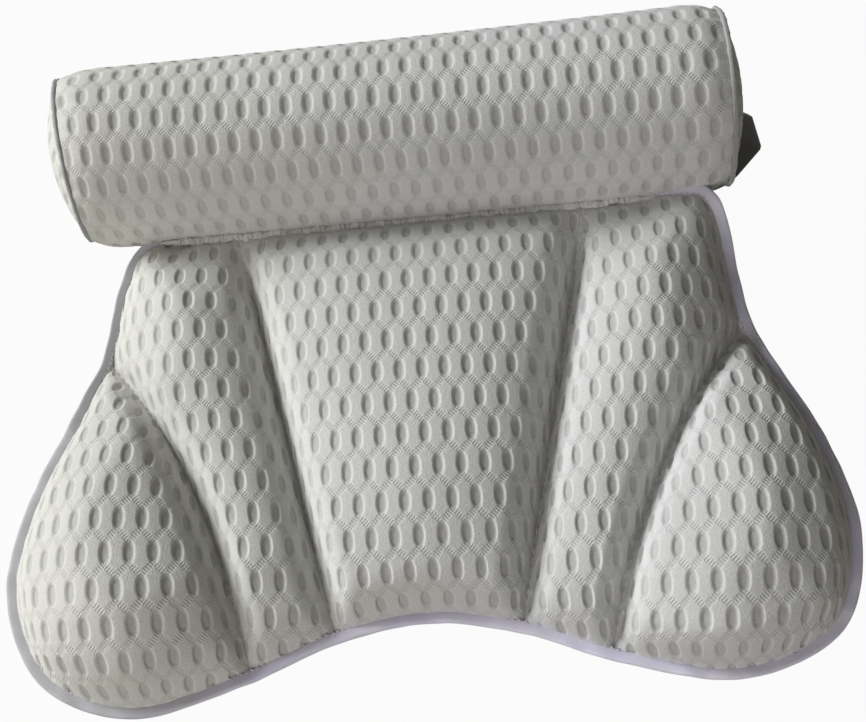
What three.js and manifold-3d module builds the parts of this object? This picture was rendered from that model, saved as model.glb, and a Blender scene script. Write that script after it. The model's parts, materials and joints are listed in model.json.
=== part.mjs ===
import * as THREE from 'three';
import { mergeVertices } from 'three/addons/utils/BufferGeometryUtils.js';
import Module from 'manifold-3d';

const wasm = await Module();
wasm.setup();

// Bath pillow lying on its suction cups. Millimetres, +X along the roll, +Y from the pad to
// the roll, +Z up. The cups' rims stand on z = 0.

// Levels and thicknesses
const GAP = 0.3;
const FILL_GAP = 0.6;
const CUP_STAND = 12;
const BACK_DEPTH = 18;
const FRONT_CROWN = 26;
const MESH_THICKNESS = 3;
const EDGE_WALL = 1.2;
const EDGE_Z = CUP_STAND + BACK_DEPTH;

// Roll
const ROLL_RADIUS = 43;
const ROLL_LENGTH = 301;
const ROLL_Y = 109.6;
const ROLL_Z = CUP_STAND + ROLL_RADIUS;
const PIPING_RADIUS = 2.3;
const PIPING_SET_IN = 2.5;
const END_BULGE = 8;
const ROUND = 36;

// The seam between roll and pad is the line that the roll folds about. The pad's edge rises to it.
const JOIN_RADIUS = 2;
const JOIN_HALF_LENGTH = 95;
const JOIN_RISE = 7;
const RISE_LENGTH = 36;
const SHOULDER_RISE_SHARE = 0.7;
const JOIN_Z = EDGE_Z + JOIN_RISE;
const HINGE_REACH = ROLL_RADIUS + GAP + JOIN_RADIUS;
const HINGE_Y = ROLL_Y - Math.sqrt(HINGE_REACH ** 2 - (ROLL_Z - JOIN_Z) ** 2);
const TOP_Y = HINGE_Y - JOIN_RADIUS - GAP;

// Pad outline from the right end of the join seam round to the bottom centre: half widths, the
// places along the pad where they lie, and how far the edge runs in, up or down beside them
const SHOULDER_HALF_WIDTH = 137;
const SHOULDER_ROUND = 16;
const SHOULDER_DROP = 2.5;
const NECK_HALF_WIDTH = 147;
const NECK_Y = 22;
const NECK_TAPER = { x: 3, y: 26 };
const NECK_FLARE = { x: 9, y: 28 };
const WING_HALF_WIDTH = 185;
const WING_Y = -96;
const WING_TAPER = { x: 7, y: 42 };
const WING_ROUND = { x: 16, y: 17 };
const LOBE_HALF_WIDTH = 129;
const LOBE_Y = -152;
const LOBE_RUN = { x: 50, y: 10 };
const FOOT_HALF_WIDTH = 39.5;
const FOOT_Y = -120;
const FOOT_DROP = 7;
const OUTLINE = [
  [JOIN_HALF_LENGTH, TOP_Y],
  [SHOULDER_HALF_WIDTH - SHOULDER_ROUND, TOP_Y - SHOULDER_DROP / 3],
  [SHOULDER_HALF_WIDTH, TOP_Y - SHOULDER_DROP],
  [NECK_HALF_WIDTH - NECK_TAPER.x, NECK_Y + NECK_TAPER.y],
  [NECK_HALF_WIDTH, NECK_Y],
  [NECK_HALF_WIDTH + NECK_FLARE.x, NECK_Y - NECK_FLARE.y],
  [WING_HALF_WIDTH - WING_TAPER.x, WING_Y + WING_TAPER.y],
  [WING_HALF_WIDTH, WING_Y],
  [WING_HALF_WIDTH - WING_ROUND.x, LOBE_Y + WING_ROUND.y],
  [LOBE_HALF_WIDTH, LOBE_Y],
  [LOBE_HALF_WIDTH - LOBE_RUN.x, LOBE_Y + LOBE_RUN.y],
  [FOOT_HALF_WIDTH, FOOT_Y - FOOT_DROP],
  [0, FOOT_Y],
];

// Quilting seams on the right half: a point near the top and one near the bottom
const INNER_SEAM = [[80, TOP_Y], [42, FOOT_Y + 4]];
const OUTER_SEAM = [[144.5, -1], [78.5, -133]];
const SEAM_GAP = 2;
const THREAD_RADIUS = 0.65;

// Binding tape folded round the pad's edge. It starts narrow, where it comes out of the join seam.
const BINDING_WIDTH = 8;
const BINDING_START = 1.5;
const BINDING_RAMP = 20;
const BINDING_HALF_THICKNESS = 2;
const BINDING_GAP = 0.7;
const FOLD_SLACK = 1.25;

// Suction cups and the eyelets that hold them
const CUP_RADIUS = 28;
const CUP_LIP = 3;
const NECK_RADIUS = 4.4;
const HEAD_RADIUS = 7.5;
const EYELET_BORE = NECK_RADIUS + 0.6;
const EYELET_WALL = 1.2;
const EYELET_FLANGE = 9;
const EYELET_SLACK = 0.3;
const HEAD_HEIGHT = 3;
const ROLL_CUP_INSET = EYELET_FLANGE + 3;
const ROLL_CUP_SETBACK = 9.5;
const PAD_CUP_INSET = 42;
const PAD_CUP_DROP = 4;
const WING_CUP_INSET = 47;
const WING_CUP_RISE = 4;
const ROLL_CUP = [ROLL_LENGTH / 2 - ROLL_CUP_INSET, ROLL_Y + ROLL_CUP_SETBACK];
const PAD_CUP = [NECK_HALF_WIDTH - PAD_CUP_INSET, NECK_Y - PAD_CUP_DROP];
const WING_CUP = [WING_HALF_WIDTH - WING_CUP_INSET, WING_Y + WING_CUP_RISE];

// How each edge of a channel draws the fabric down: over what distance, and how full
const FRONT_EDGES = {
  seam: { shoulder: 24, fullness: 2.2 },
  binding: { shoulder: 26, fullness: 2.2 },
  top: { shoulder: 36, fullness: 1.8 },
};
const BACK_EDGES = {
  seam: { shoulder: 28, fullness: 2 },
  binding: { shoulder: 28, fullness: 2 },
  top: { shoulder: 34, fullness: 2 },
};

const MESH_WHITE = 0xdedbd1;
const BACK_WHITE = 0xd2d0c9;
const FILL_WHITE = 0xf1f0ec;
const TAPE_WHITE = 0xd8d7e0;
const THREAD_WHITE = 0xe9e7e1;
const CUP_SMOKE = 0x2b2823;
const EYELET_GREY = 0xb9b9b6;

const group = new THREE.Group();

function addPiece(name, geometry, color, roughness) {
  const mesh = new THREE.Mesh(geometry, new THREE.MeshStandardMaterial({ color, roughness, metalness: 0 }));
  mesh.name = name;
  group.add(mesh);
}

// A body is kept as quads, four points each, counter-clockwise seen from outside.
function geometryOf(quads) {
  const positions = [];
  for (const [a, b, c, d] of quads) {
    for (const corners of [[a, b, c], [a, c, d]]) {
      const [p, q, r] = corners;
      if (p.equals(q) || q.equals(r) || r.equals(p)) continue;
      for (const point of corners) positions.push(point.x, point.y, point.z);
    }
  }
  const geometry = new THREE.BufferGeometry();
  geometry.setAttribute('position', new THREE.Float32BufferAttribute(positions, 3));
  return mergeVertices(geometry, 1e-4);
}

// The same quads seen from the other side, each split along the same diagonal
function turned(quads) {
  return quads.map(([a, b, c, d]) => [a, d, c, b]);
}

// Raises what lies near the roll to the level of the join.
function raised(geometry) {
  const { smoothstep } = THREE.MathUtils;
  const position = geometry.getAttribute('position');
  for (let i = 0; i < position.count; i += 1) {
    const near = smoothstep(position.getY(i), TOP_Y - RISE_LENGTH, TOP_Y);
    const outwards = smoothstep(Math.abs(position.getX(i)), JOIN_HALF_LENGTH, SHOULDER_HALF_WIDTH);
    const rise = JOIN_RISE * near * THREE.MathUtils.lerp(1, SHOULDER_RISE_SHARE, outwards);
    position.setZ(i, position.getZ(i) + rise);
  }
  return geometry;
}

function belowEdge(quads) {
  return turned(quads).map((quad) => quad.map(({ x, y, z }) => new THREE.Vector3(x, y, 2 * EDGE_Z - z)));
}

function solidOf(geometry) {
  const plain = new THREE.BufferGeometry();
  plain.setAttribute('position', geometry.getAttribute('position'));
  plain.setIndex(geometry.getIndex());
  const merged = mergeVertices(plain, 1e-4);
  return new wasm.Manifold(new wasm.Mesh({
    numProp: 3,
    vertProperties: new Float32Array(merged.getAttribute('position').array),
    triVerts: new Uint32Array(merged.getIndex().array),
  }));
}

function geometryFrom(solid) {
  const mesh = solid.getMesh();
  const geometry = new THREE.BufferGeometry();
  geometry.setAttribute('position', new THREE.Float32BufferAttribute(mesh.vertProperties, 3));
  geometry.setIndex(new THREE.Uint32BufferAttribute(mesh.triVerts, 1));
  return geometry;
}

function uprightCylinder(radius, x, y, bottom, top) {
  const geometry = new THREE.CylinderGeometry(radius, radius, top - bottom, 16);
  geometry.rotateX(Math.PI / 2);
  geometry.translate(x, y, (bottom + top) / 2);
  return solidOf(geometry);
}

// The whole outline as a dense line, right end first, with each point's way inwards and the
// width that the binding has there
const outlineCurve = new THREE.CatmullRomCurve3(
  [...OUTLINE, ...OUTLINE.slice(0, -1).reverse().map(([x, y]) => [-x, y])]
    .map(([x, y]) => new THREE.Vector3(x, y, 0)),
);
const STEPS = 132;
const outlineLength = outlineCurve.getLength();
const outline = [];
for (let i = 0; i <= STEPS; i += 1) {
  const share = i / STEPS;
  const tangent = outlineCurve.getTangentAt(share);
  const fromEnd = Math.min(share, 1 - share) * outlineLength;
  const ramp = THREE.MathUtils.smoothstep(fromEnd, 0, BINDING_RAMP);
  outline.push({
    point: outlineCurve.getPointAt(share),
    inwards: new THREE.Vector3(tangent.y, -tangent.x, 0),
    width: THREE.MathUtils.lerp(BINDING_START, BINDING_WIDTH, ramp),
  });
}

function edgePath(inset) {
  return outline.map(({ point, inwards, width }) => point.clone().addScaledVector(inwards, width + inset));
}

// A seam as a line. side is the unit direction across it, away from the pad's middle.
function seamLine([[x1, y1], [x2, y2]]) {
  const start = new THREE.Vector3(x1, y1, 0);
  const along = new THREE.Vector3(x2 - x1, y2 - y1, 0).normalize();
  return { start, along, side: new THREE.Vector3(-along.y, along.x, 0) };
}

function shifted(line, distance) {
  return { ...line, start: line.start.clone().addScaledVector(line.side, distance) };
}

function across(line, point) {
  return point.clone().sub(line.start).dot(line.side);
}

function atHeightOf(line, y) {
  return line.start.clone().addScaledVector(line.along, (y - line.start.y) / line.along.y);
}

const innerSeam = seamLine(INNER_SEAM);
const outerSeam = seamLine(OUTER_SEAM);

// Where a line crosses a path, as positions counted in the path's points
function crossings(path, line) {
  const found = [];
  for (let i = 0; i + 1 < path.length; i += 1) {
    const before = across(line, path[i]);
    const after = across(line, path[i + 1]);
    if (before * after < 0) found.push(i + before / (before - after));
  }
  return found;
}

function pointOn(path, position) {
  const i = Math.min(Math.floor(position), path.length - 2);
  return path[i].clone().lerp(path[i + 1], position - i);
}

// The part of a path from one position to another, either way
function stretch(path, from, to) {
  const points = [pointOn(path, from)];
  const step = Math.sign(to - from);
  const first = step > 0 ? Math.floor(from) + 1 : Math.ceil(from) - 1;
  for (let i = first; (to - i) * step > 0; i += step) points.push(path[i].clone());
  points.push(pointOn(path, to));
  return points;
}

function alongPoints(points, share) {
  const lengths = [0];
  for (let i = 1; i < points.length; i += 1) {
    lengths.push(lengths[i - 1] + points[i].distanceTo(points[i - 1]));
  }
  const wanted = share * lengths[lengths.length - 1];
  let i = 1;
  while (i < points.length - 1 && lengths[i] < wanted) i += 1;
  const part = (wanted - lengths[i - 1]) / (lengths[i] - lengths[i - 1]);
  return points[i - 1].clone().lerp(points[i], part);
}

function distanceToPath(point, path) {
  const nearest = new THREE.Vector3();
  const piece = new THREE.Line3();
  let least = Infinity;
  for (let i = 0; i + 1 < path.length; i += 1) {
    piece.set(path[i], path[i + 1]).closestPointToPoint(point, true, nearest);
    least = Math.min(least, nearest.distanceTo(point));
  }
  return least;
}

function evenShares(count) {
  return Array.from({ length: count + 1 }, (_, i) => i / count);
}

// Shares from 0 to 1, closer together near both ends, where the fabric is drawn down
function shares(count) {
  return evenShares(count).map(
    (even) => THREE.MathUtils.lerp(even, 0.5 - 0.5 * Math.cos(Math.PI * even), 0.6),
  );
}

// Each channel gives its plan as rows of points from top to bottom, left to right, with all
// its edges moved inwards by inset, and the distance of a point to each of those edges.

// The stretch of the pad's edge that is sewn to the roll
function joinLine(path, top) {
  return [-1, 1].map((sign) => new THREE.Vector3(sign * path[0].x, top, 0));
}

function centreChannel(inset) {
  const path = edgePath(BINDING_GAP + inset);
  const right = shifted(innerSeam, -SEAM_GAP / 2 - inset);
  const top = TOP_Y - inset;
  const join = joinLine(path, top);
  const rightTop = atHeightOf(right, top);
  const foot = crossings(path, right)[0];
  const bottom = stretch(path, path.length - 1 - foot, foot);
  const rows = shares(9).map((v) => shares(10).map((u) => {
    const upper = new THREE.Vector3(rightTop.x * (2 * u - 1), top, 0);
    return upper.lerp(alongPoints(bottom, u), v);
  }));
  const mirrored = (point) => new THREE.Vector3(-point.x, point.y, 0);
  const edges = [
    ['seam', (point) => -across(right, point)],
    ['seam', (point) => -across(right, mirrored(point))],
    ['binding', (point) => distanceToPath(point, path)],
    ['top', (point) => distanceToPath(point, join)],
  ];
  return { rows, edges };
}

function innerChannel(inset) {
  const path = edgePath(BINDING_GAP + inset);
  const left = shifted(innerSeam, SEAM_GAP / 2 + inset);
  const right = shifted(outerSeam, -SEAM_GAP / 2 - inset);
  const top = TOP_Y - inset;
  const join = joinLine(path, top);
  const [neck, heel] = crossings(path, right);
  const foot = crossings(path, left)[0];
  const leftTop = atHeightOf(left, top);
  const leftFoot = pointOn(path, foot);
  const shoulder = stretch(path, 0, neck);
  const fold = [pointOn(path, neck), pointOn(path, heel)];
  const bottom = stretch(path, foot, heel);
  const shoulderShare = 0.45;
  const rights = [
    ...evenShares(8).map((t) => ({ v: shoulderShare * t, right: alongPoints(shoulder, t) })),
    ...shares(5).slice(1).map((t) => ({
      v: THREE.MathUtils.lerp(shoulderShare, 1, t),
      right: alongPoints(fold, t),
    })),
  ];
  const rows = rights.map(({ v, right: rightPoint }) => shares(7).map((u) => {
    const sideways = leftTop.clone().lerp(leftFoot, v).lerp(rightPoint, u);
    const upper = leftTop.clone().lerp(path[0], u);
    const downwards = upper.clone().lerp(alongPoints(bottom, u), v);
    const straight = upper.lerp(leftFoot.clone().lerp(fold[1], u), v);
    return sideways.add(downwards).sub(straight);
  }));
  const edges = [
    ['seam', (point) => across(left, point)],
    ['seam', (point) => -across(right, point)],
    ['binding', (point) => distanceToPath(point, path)],
    ['top', (point) => distanceToPath(point, join)],
  ];
  return { rows, edges };
}

function wingChannel(inset) {
  const path = edgePath(BINDING_GAP + inset);
  const left = shifted(outerSeam, SEAM_GAP / 2 + inset);
  const [neck, heel] = crossings(path, left);
  const fold = [pointOn(path, neck), pointOn(path, heel)];
  const rim = stretch(path, neck, heel);
  const rows = evenShares(12).map((v) => {
    const share = THREE.MathUtils.lerp(0.03, 0.975, v);
    const from = alongPoints(fold, share);
    const to = alongPoints(rim, share);
    return shares(6).map((u) => from.clone().lerp(to, u));
  });
  const edges = [
    ['seam', (point) => across(left, point)],
    ['binding', (point) => distanceToPath(point, path)],
  ];
  return { rows, edges };
}

function drawnDown(distance, { shoulder, fullness }) {
  const share = THREE.MathUtils.clamp(distance / shoulder, 0, 1);
  return 1 - (1 - share) ** fullness;
}

// The channel's surface: rows of points, with the crown's height over the level of its border
function surface(channel, inset, styles, border, crown) {
  const { rows, edges } = channel(inset);
  const last = rows.length - 1;
  return rows.map((row, r) => row.map((point, c) => {
    const onBorder = r === 0 || r === last || c === 0 || c === row.length - 1;
    let height = onBorder ? 0 : crown;
    for (const [kind, distance] of edges) height *= drawnDown(distance(point), styles[kind]);
    return new THREE.Vector3(point.x, point.y, border + height);
  }));
}

function sheet(rows) {
  const quads = [];
  for (let r = 0; r + 1 < rows.length; r += 1) {
    for (let c = 0; c + 1 < rows[r].length; c += 1) {
      quads.push([rows[r][c], rows[r + 1][c], rows[r + 1][c + 1], rows[r][c + 1]]);
    }
  }
  return quads;
}

function borderOf(rows) {
  const last = rows.length - 1;
  const left = rows.map((row) => row[0]);
  const right = rows.map((row) => row[row.length - 1]).reverse();
  const bottom = rows[last].slice(1, -1);
  const top = rows[0].slice(1, -1).reverse();
  return [...left, ...bottom, ...right, ...top];
}

function strip(lower, upper) {
  return lower.map((point, i) => {
    const next = (i + 1) % lower.length;
    return [point, lower[next], upper[next], upper[i]];
  });
}

// A cover: outer surface, inner surface, and the cut edge of the cloth between them
function coverQuads(channel, styles, crown) {
  const base = EDGE_Z + GAP / 2;
  const outer = surface(channel, 0, styles, base + EDGE_WALL, crown - EDGE_WALL - GAP / 2);
  const inner = surface(channel, MESH_THICKNESS, styles, base, crown - MESH_THICKNESS - GAP / 2);
  const outerBorder = borderOf(outer);
  const outerBase = outerBorder.map((point) => new THREE.Vector3(point.x, point.y, base));
  return [
    ...sheet(outer),
    ...strip(outerBase, outerBorder),
    ...turned(strip(outerBase, borderOf(inner))),
    ...turned(sheet(inner)),
  ];
}

function fillQuads(channel) {
  const inset = MESH_THICKNESS + FILL_GAP;
  const front = surface(channel, inset, FRONT_EDGES, EDGE_Z, FRONT_CROWN - inset);
  const back = surface(channel, inset, BACK_EDGES, EDGE_Z, BACK_DEPTH - inset);
  return [...sheet(front), ...belowEdge(sheet(back))];
}

function leftCopy(geometry) {
  const copy = geometry.clone();
  const position = copy.getAttribute('position');
  for (let i = 0; i < position.count; i += 1) position.setX(i, -position.getX(i));
  const index = copy.getIndex();
  for (let i = 0; i < index.count; i += 3) {
    const kept = index.getX(i);
    index.setX(i, index.getX(i + 2));
    index.setX(i + 2, kept);
  }
  return copy;
}

// Heights of the cup and its eyelet. The eyelet clamps the cloth between two flanges: the outer one
// is level with the cup, and the inner one lies on the highest cloth under it.
const FLANGE_TOP = CUP_STAND - GAP;
const FLANGE_BOTTOM = FLANGE_TOP - EYELET_WALL;
const CUP_TOP = FLANGE_BOTTOM - 0.4;
const BARREL_RADIUS = EYELET_BORE + EYELET_WALL;

function eyeletHeights(cover, [x, y]) {
  const clamped = cover.intersect(uprightCylinder(EYELET_FLANGE + GAP, x, y, 0, EDGE_Z - 1));
  const innerFlange = clamped.boundingBox().max[2] + EYELET_SLACK;
  const innerFlangeTop = innerFlange + EYELET_WALL;
  const headBottom = innerFlangeTop + 0.4;
  return { innerFlange, innerFlangeTop, headBottom, headTop: headBottom + HEAD_HEIGHT };
}

function eyeletHole(x, y) {
  return uprightCylinder(BARREL_RADIUS + 0.4, x, y, 0, EDGE_Z - 1);
}

function headPocket(x, y, heights) {
  return uprightCylinder(EYELET_FLANGE + 0.8, x, y, 0, heights.headTop + 1);
}

// Pad: three fixed channels and two wings, each with a front cover, a back cover and a fill. It gives
// the heights of the eyelets in the channel's back.
function addChannel(channel, name, sides, cup) {
  const front = geometryOf(coverQuads(channel, FRONT_EDGES, FRONT_CROWN));
  let back = geometryOf(belowEdge(coverQuads(channel, BACK_EDGES, BACK_DEPTH)));
  let fill = geometryOf(fillQuads(channel));
  let heights = null;
  if (cup) {
    heights = eyeletHeights(solidOf(back), cup);
    back = geometryFrom(solidOf(back).subtract(eyeletHole(...cup)));
    fill = geometryFrom(solidOf(fill).subtract(headPocket(...cup, heights)));
  }
  for (const geometry of [front, back, fill]) raised(geometry);
  for (const side of sides) {
    const placed = (geometry) => (side === '_left' ? leftCopy(geometry) : geometry);
    addPiece(`${name}_front${side}`, placed(front), MESH_WHITE, 0.9);
    addPiece(`${name}_back${side}`, placed(back), BACK_WHITE, 0.9);
    addPiece(`${name}_fill${side}`, placed(fill), FILL_WHITE, 1);
  }
  return heights;
}

addChannel(centreChannel, 'centre', [''], null);
const padEyelet = addChannel(innerChannel, 'inner', ['_left', '_right'], PAD_CUP);
const wingEyelet = addChannel(wingChannel, 'wing', ['_left', '_right'], WING_CUP);

// Binding: half of the tape's section as share of its width and height over the edge plane
const TAPE_SECTION = [[0, 0], [0.12, 0.8], [0.4, 1], [1, 0.7]];

function tapeRing({ point, inwards, width }) {
  const upper = TAPE_SECTION.map(([share, height]) => {
    const place = point.clone().addScaledVector(inwards, share * width);
    place.z = EDGE_Z + height * BINDING_HALF_THICKNESS;
    return place;
  });
  const lower = upper.slice(1).reverse().map((place) => place.clone().setZ(2 * EDGE_Z - place.z));
  return [...upper, ...lower];
}

function tape(from, to) {
  const rings = outline.slice(from, to + 1).map(tapeRing);
  const quads = [];
  for (let i = 0; i + 1 < rings.length; i += 1) quads.push(...strip(rings[i], rings[i + 1]));
  const capQuads = (ring) => {
    const half = TAPE_SECTION.length;
    const list = [];
    for (let k = 0; k + 1 < half; k += 1) {
      const low = ring.length - k;
      list.push([ring[k], ring[k + 1], ring[low - 1], ring[low % ring.length]]);
    }
    return list;
  };
  quads.push(...turned(capQuads(rings[0])), ...capQuads(rings[rings.length - 1]));
  return quads;
}

function tapeSolid(from, to) {
  return solidOf(geometryOf(tape(from, to)));
}

// A block that holds everything on the wing's side of the fold, from a distance off its line
function wingSide(distance) {
  const reach = 2 * WING_HALF_WIDTH;
  const block = new THREE.BoxGeometry(reach, 2 * reach, reach);
  block.translate(-reach / 2, 0, EDGE_Z);
  block.rotateZ(Math.atan2(-outerSeam.side.y, -outerSeam.side.x));
  const { x, y } = shifted(outerSeam, distance).start;
  block.translate(x, y, 0);
  return solidOf(block);
}

const tapePath = outline.map(({ point }) => point);
const [neckAt, heelAt] = crossings(tapePath, outerSeam);
const TAPE_SPARE = 5;
const wingBlock = wingSide(FOLD_SLACK);
const foldBlock = wingSide(-FOLD_SLACK);
const leftFoldBlock = solidOf(leftCopy(geometryFrom(foldBlock)));
const shoulderTape = raised(
  geometryFrom(tapeSolid(0, Math.ceil(neckAt) + TAPE_SPARE).subtract(foldBlock)),
);
const wingTape = geometryFrom(
  tapeSolid(Math.floor(neckAt) - TAPE_SPARE, Math.ceil(heelAt) + TAPE_SPARE).intersect(wingBlock),
);
const heelStart = Math.floor(heelAt) - TAPE_SPARE;
const bottomTape = geometryFrom(
  tapeSolid(heelStart, STEPS - heelStart).subtract(foldBlock).subtract(leftFoldBlock),
);
addPiece('binding_shoulder_left', leftCopy(shoulderTape), TAPE_WHITE, 0.8);
addPiece('binding_shoulder_right', shoulderTape, TAPE_WHITE, 0.8);
addPiece('binding_wing_left', leftCopy(wingTape), TAPE_WHITE, 0.8);
addPiece('binding_wing_right', wingTape, TAPE_WHITE, 0.8);
addPiece('binding_bottom', bottomTape, TAPE_WHITE, 0.8);

// Quilting threads, one along each seam, in lengths short enough to follow the pad's edge upwards
const ROD_STEPS = 12;
function rod(from, to, radius, sides) {
  const geometry = new THREE.CylinderGeometry(radius, radius, from.distanceTo(to), sides, ROD_STEPS);
  const turn = new THREE.Quaternion().setFromUnitVectors(
    new THREE.Vector3(0, 1, 0),
    to.clone().sub(from).normalize(),
  );
  geometry.applyQuaternion(turn);
  const middle = from.clone().lerp(to, 0.5);
  geometry.translate(middle.x, middle.y, middle.z);
  return mergeVertices(new THREE.BufferGeometry()
    .setAttribute('position', geometry.getAttribute('position'))
    .setIndex(geometry.getIndex()));
}

const threadEdge = edgePath(THREAD_RADIUS + GAP).map((point) => point.setZ(EDGE_Z));
const innerThread = raised(rod(
  atHeightOf(innerSeam, TOP_Y - THREAD_RADIUS).setZ(EDGE_Z),
  pointOn(threadEdge, crossings(threadEdge, innerSeam)[0]),
  THREAD_RADIUS,
  8,
));
const [threadNeck, threadHeel] = crossings(threadEdge, outerSeam);
const outerThread = rod(
  pointOn(threadEdge, threadNeck).addScaledVector(outerSeam.along, THREAD_RADIUS),
  pointOn(threadEdge, threadHeel),
  THREAD_RADIUS,
  8,
);
addPiece('seam_inner_left', leftCopy(innerThread), THREAD_WHITE, 0.9);
addPiece('seam_inner_right', innerThread, THREAD_WHITE, 0.9);
addPiece('seam_outer_left', leftCopy(outerThread), THREAD_WHITE, 0.9);
addPiece('seam_outer_right', outerThread, THREAD_WHITE, 0.9);
addPiece('join_seam', rod(
  new THREE.Vector3(-JOIN_HALF_LENGTH, HINGE_Y, JOIN_Z),
  new THREE.Vector3(JOIN_HALF_LENGTH, HINGE_Y, JOIN_Z),
  JOIN_RADIUS,
  12,
), MESH_WHITE, 0.9);

// Turns a profile of (radius, height) points round the Z axis
function turnedBody(profile, segments) {
  const geometry = new THREE.LatheGeometry(profile.map(([r, h]) => new THREE.Vector2(r, h)), segments);
  geometry.rotateX(Math.PI / 2);
  return geometry;
}

// The same, round the roll's axis, with heights counted along X from the roll's middle
function rollBody(profile, segments) {
  const geometry = turnedBody(profile, segments);
  geometry.rotateY(Math.PI / 2);
  return geometry;
}

// The roll's pieces are made round the X axis and moved to their place here.
function onRoll(geometry) {
  return geometry.translate(0, ROLL_Y, ROLL_Z);
}

function bothSides([x, y]) {
  return [[-x, y], [x, y]];
}

const coverEnd = ROLL_LENGTH / 2 - PIPING_RADIUS - GAP;
const coverInner = ROLL_RADIUS - MESH_THICKNESS;
let rollTube = solidOf(onRoll(rollBody([
  [coverInner, -coverEnd], [ROLL_RADIUS, -coverEnd], [ROLL_RADIUS, coverEnd], [coverInner, coverEnd],
  [coverInner, -coverEnd],
], ROUND)));
const rollEyelet = eyeletHeights(rollTube, ROLL_CUP);
for (const place of bothSides(ROLL_CUP)) rollTube = rollTube.subtract(eyeletHole(...place));
addPiece('roll_cover', geometryFrom(rollTube), MESH_WHITE, 0.9);

const pipingCentre = ROLL_RADIUS - PIPING_SET_IN;
const piping = new THREE.TorusGeometry(pipingCentre, PIPING_RADIUS, 6, ROUND);
piping.rotateY(Math.PI / 2);
piping.translate(ROLL_LENGTH / 2, 0, 0);
const pipingRing = mergeVertices(new THREE.BufferGeometry()
  .setAttribute('position', piping.getAttribute('position'))
  .setIndex(piping.getIndex()));
addPiece('roll_piping_left', onRoll(leftCopy(pipingRing)), TAPE_WHITE, 0.8);
addPiece('roll_piping_right', onRoll(pipingRing), TAPE_WHITE, 0.8);

// End disc: domed cloth inside the piping
const endRadius = pipingCentre - PIPING_RADIUS - GAP;
const endStart = ROLL_LENGTH / 2 - PIPING_RADIUS;
const DOME_POINTS = 3;
const domeOuter = [];
const domeInner = [];
for (let i = 0; i <= DOME_POINTS; i += 1) {
  const share = i / DOME_POINTS;
  const rise = END_BULGE * (1 - share ** 2);
  domeOuter.push([endRadius * share, endStart + MESH_THICKNESS + rise]);
  domeInner.push([endRadius * share, endStart + rise]);
}
const endDisc = rollBody([...domeInner, ...domeOuter.reverse()], ROUND);
const endPiece = mergeVertices(new THREE.BufferGeometry()
  .setAttribute('position', endDisc.getAttribute('position'))
  .setIndex(endDisc.getIndex()));
addPiece('roll_end_left', onRoll(leftCopy(endPiece)), MESH_WHITE, 0.9);
addPiece('roll_end_right', onRoll(endPiece), MESH_WHITE, 0.9);

const coreRadius = coverInner - FILL_GAP;
const coreEnd = endStart - FILL_GAP;
let rollCore = solidOf(onRoll(rollBody([
  [0, -coreEnd], [coreRadius, -coreEnd], [coreRadius, coreEnd], [0, coreEnd],
], ROUND)));
for (const place of bothSides(ROLL_CUP)) {
  rollCore = rollCore.subtract(headPocket(...place, rollEyelet));
}
addPiece('roll_fill', geometryFrom(rollCore), FILL_WHITE, 1);

// Suction cup: a thin dish with a neck and a head that is pushed through the eyelet
function cupProfile({ headBottom, headTop }) {
  return [
    [0, 0.54 * CUP_TOP], [0.34 * CUP_RADIUS, 0.46 * CUP_TOP], [0.66 * CUP_RADIUS, 0.24 * CUP_TOP],
    [CUP_RADIUS - CUP_LIP, 0], [CUP_RADIUS, 0], [CUP_RADIUS, 0.08 * CUP_TOP],
    [0.73 * CUP_RADIUS, 0.42 * CUP_TOP], [0.46 * CUP_RADIUS, 0.75 * CUP_TOP], [NECK_RADIUS + 3.5, CUP_TOP],
    [NECK_RADIUS, CUP_TOP], [NECK_RADIUS, headBottom], [HEAD_RADIUS, headBottom],
    [HEAD_RADIUS - 2, headTop], [0, headTop],
  ];
}

function eyeletProfile({ innerFlange, innerFlangeTop }) {
  return [
    [EYELET_BORE, FLANGE_BOTTOM], [EYELET_FLANGE, FLANGE_BOTTOM], [EYELET_FLANGE, FLANGE_TOP],
    [BARREL_RADIUS, FLANGE_TOP], [BARREL_RADIUS, innerFlange], [EYELET_FLANGE, innerFlange],
    [EYELET_FLANGE, innerFlangeTop], [EYELET_BORE, innerFlangeTop], [EYELET_BORE, FLANGE_BOTTOM],
  ];
}

const cupPlaces = {
  roll: { place: ROLL_CUP, heights: rollEyelet },
  pad: { place: PAD_CUP, heights: padEyelet },
  wing: { place: WING_CUP, heights: wingEyelet },
};
for (const [part, { place, heights }] of Object.entries(cupPlaces)) {
  const [leftPlace, rightPlace] = bothSides(place);
  for (const [side, at] of [['left', leftPlace], ['right', rightPlace]]) {
    const cup = turnedBody(cupProfile(heights), 24);
    cup.translate(...at, 0);
    addPiece(`cup_${part}_${side}`, cup, CUP_SMOKE, 0.35);
    const eyelet = turnedBody(eyeletProfile(heights), 16);
    eyelet.translate(...at, 0);
    addPiece(`eyelet_${part}_${side}`, eyelet, EYELET_GREY, 0.5);
  }
}

export default group;
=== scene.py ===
import json
import math

import bpy
import numpy as np
from mathutils import Matrix, Vector

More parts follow.
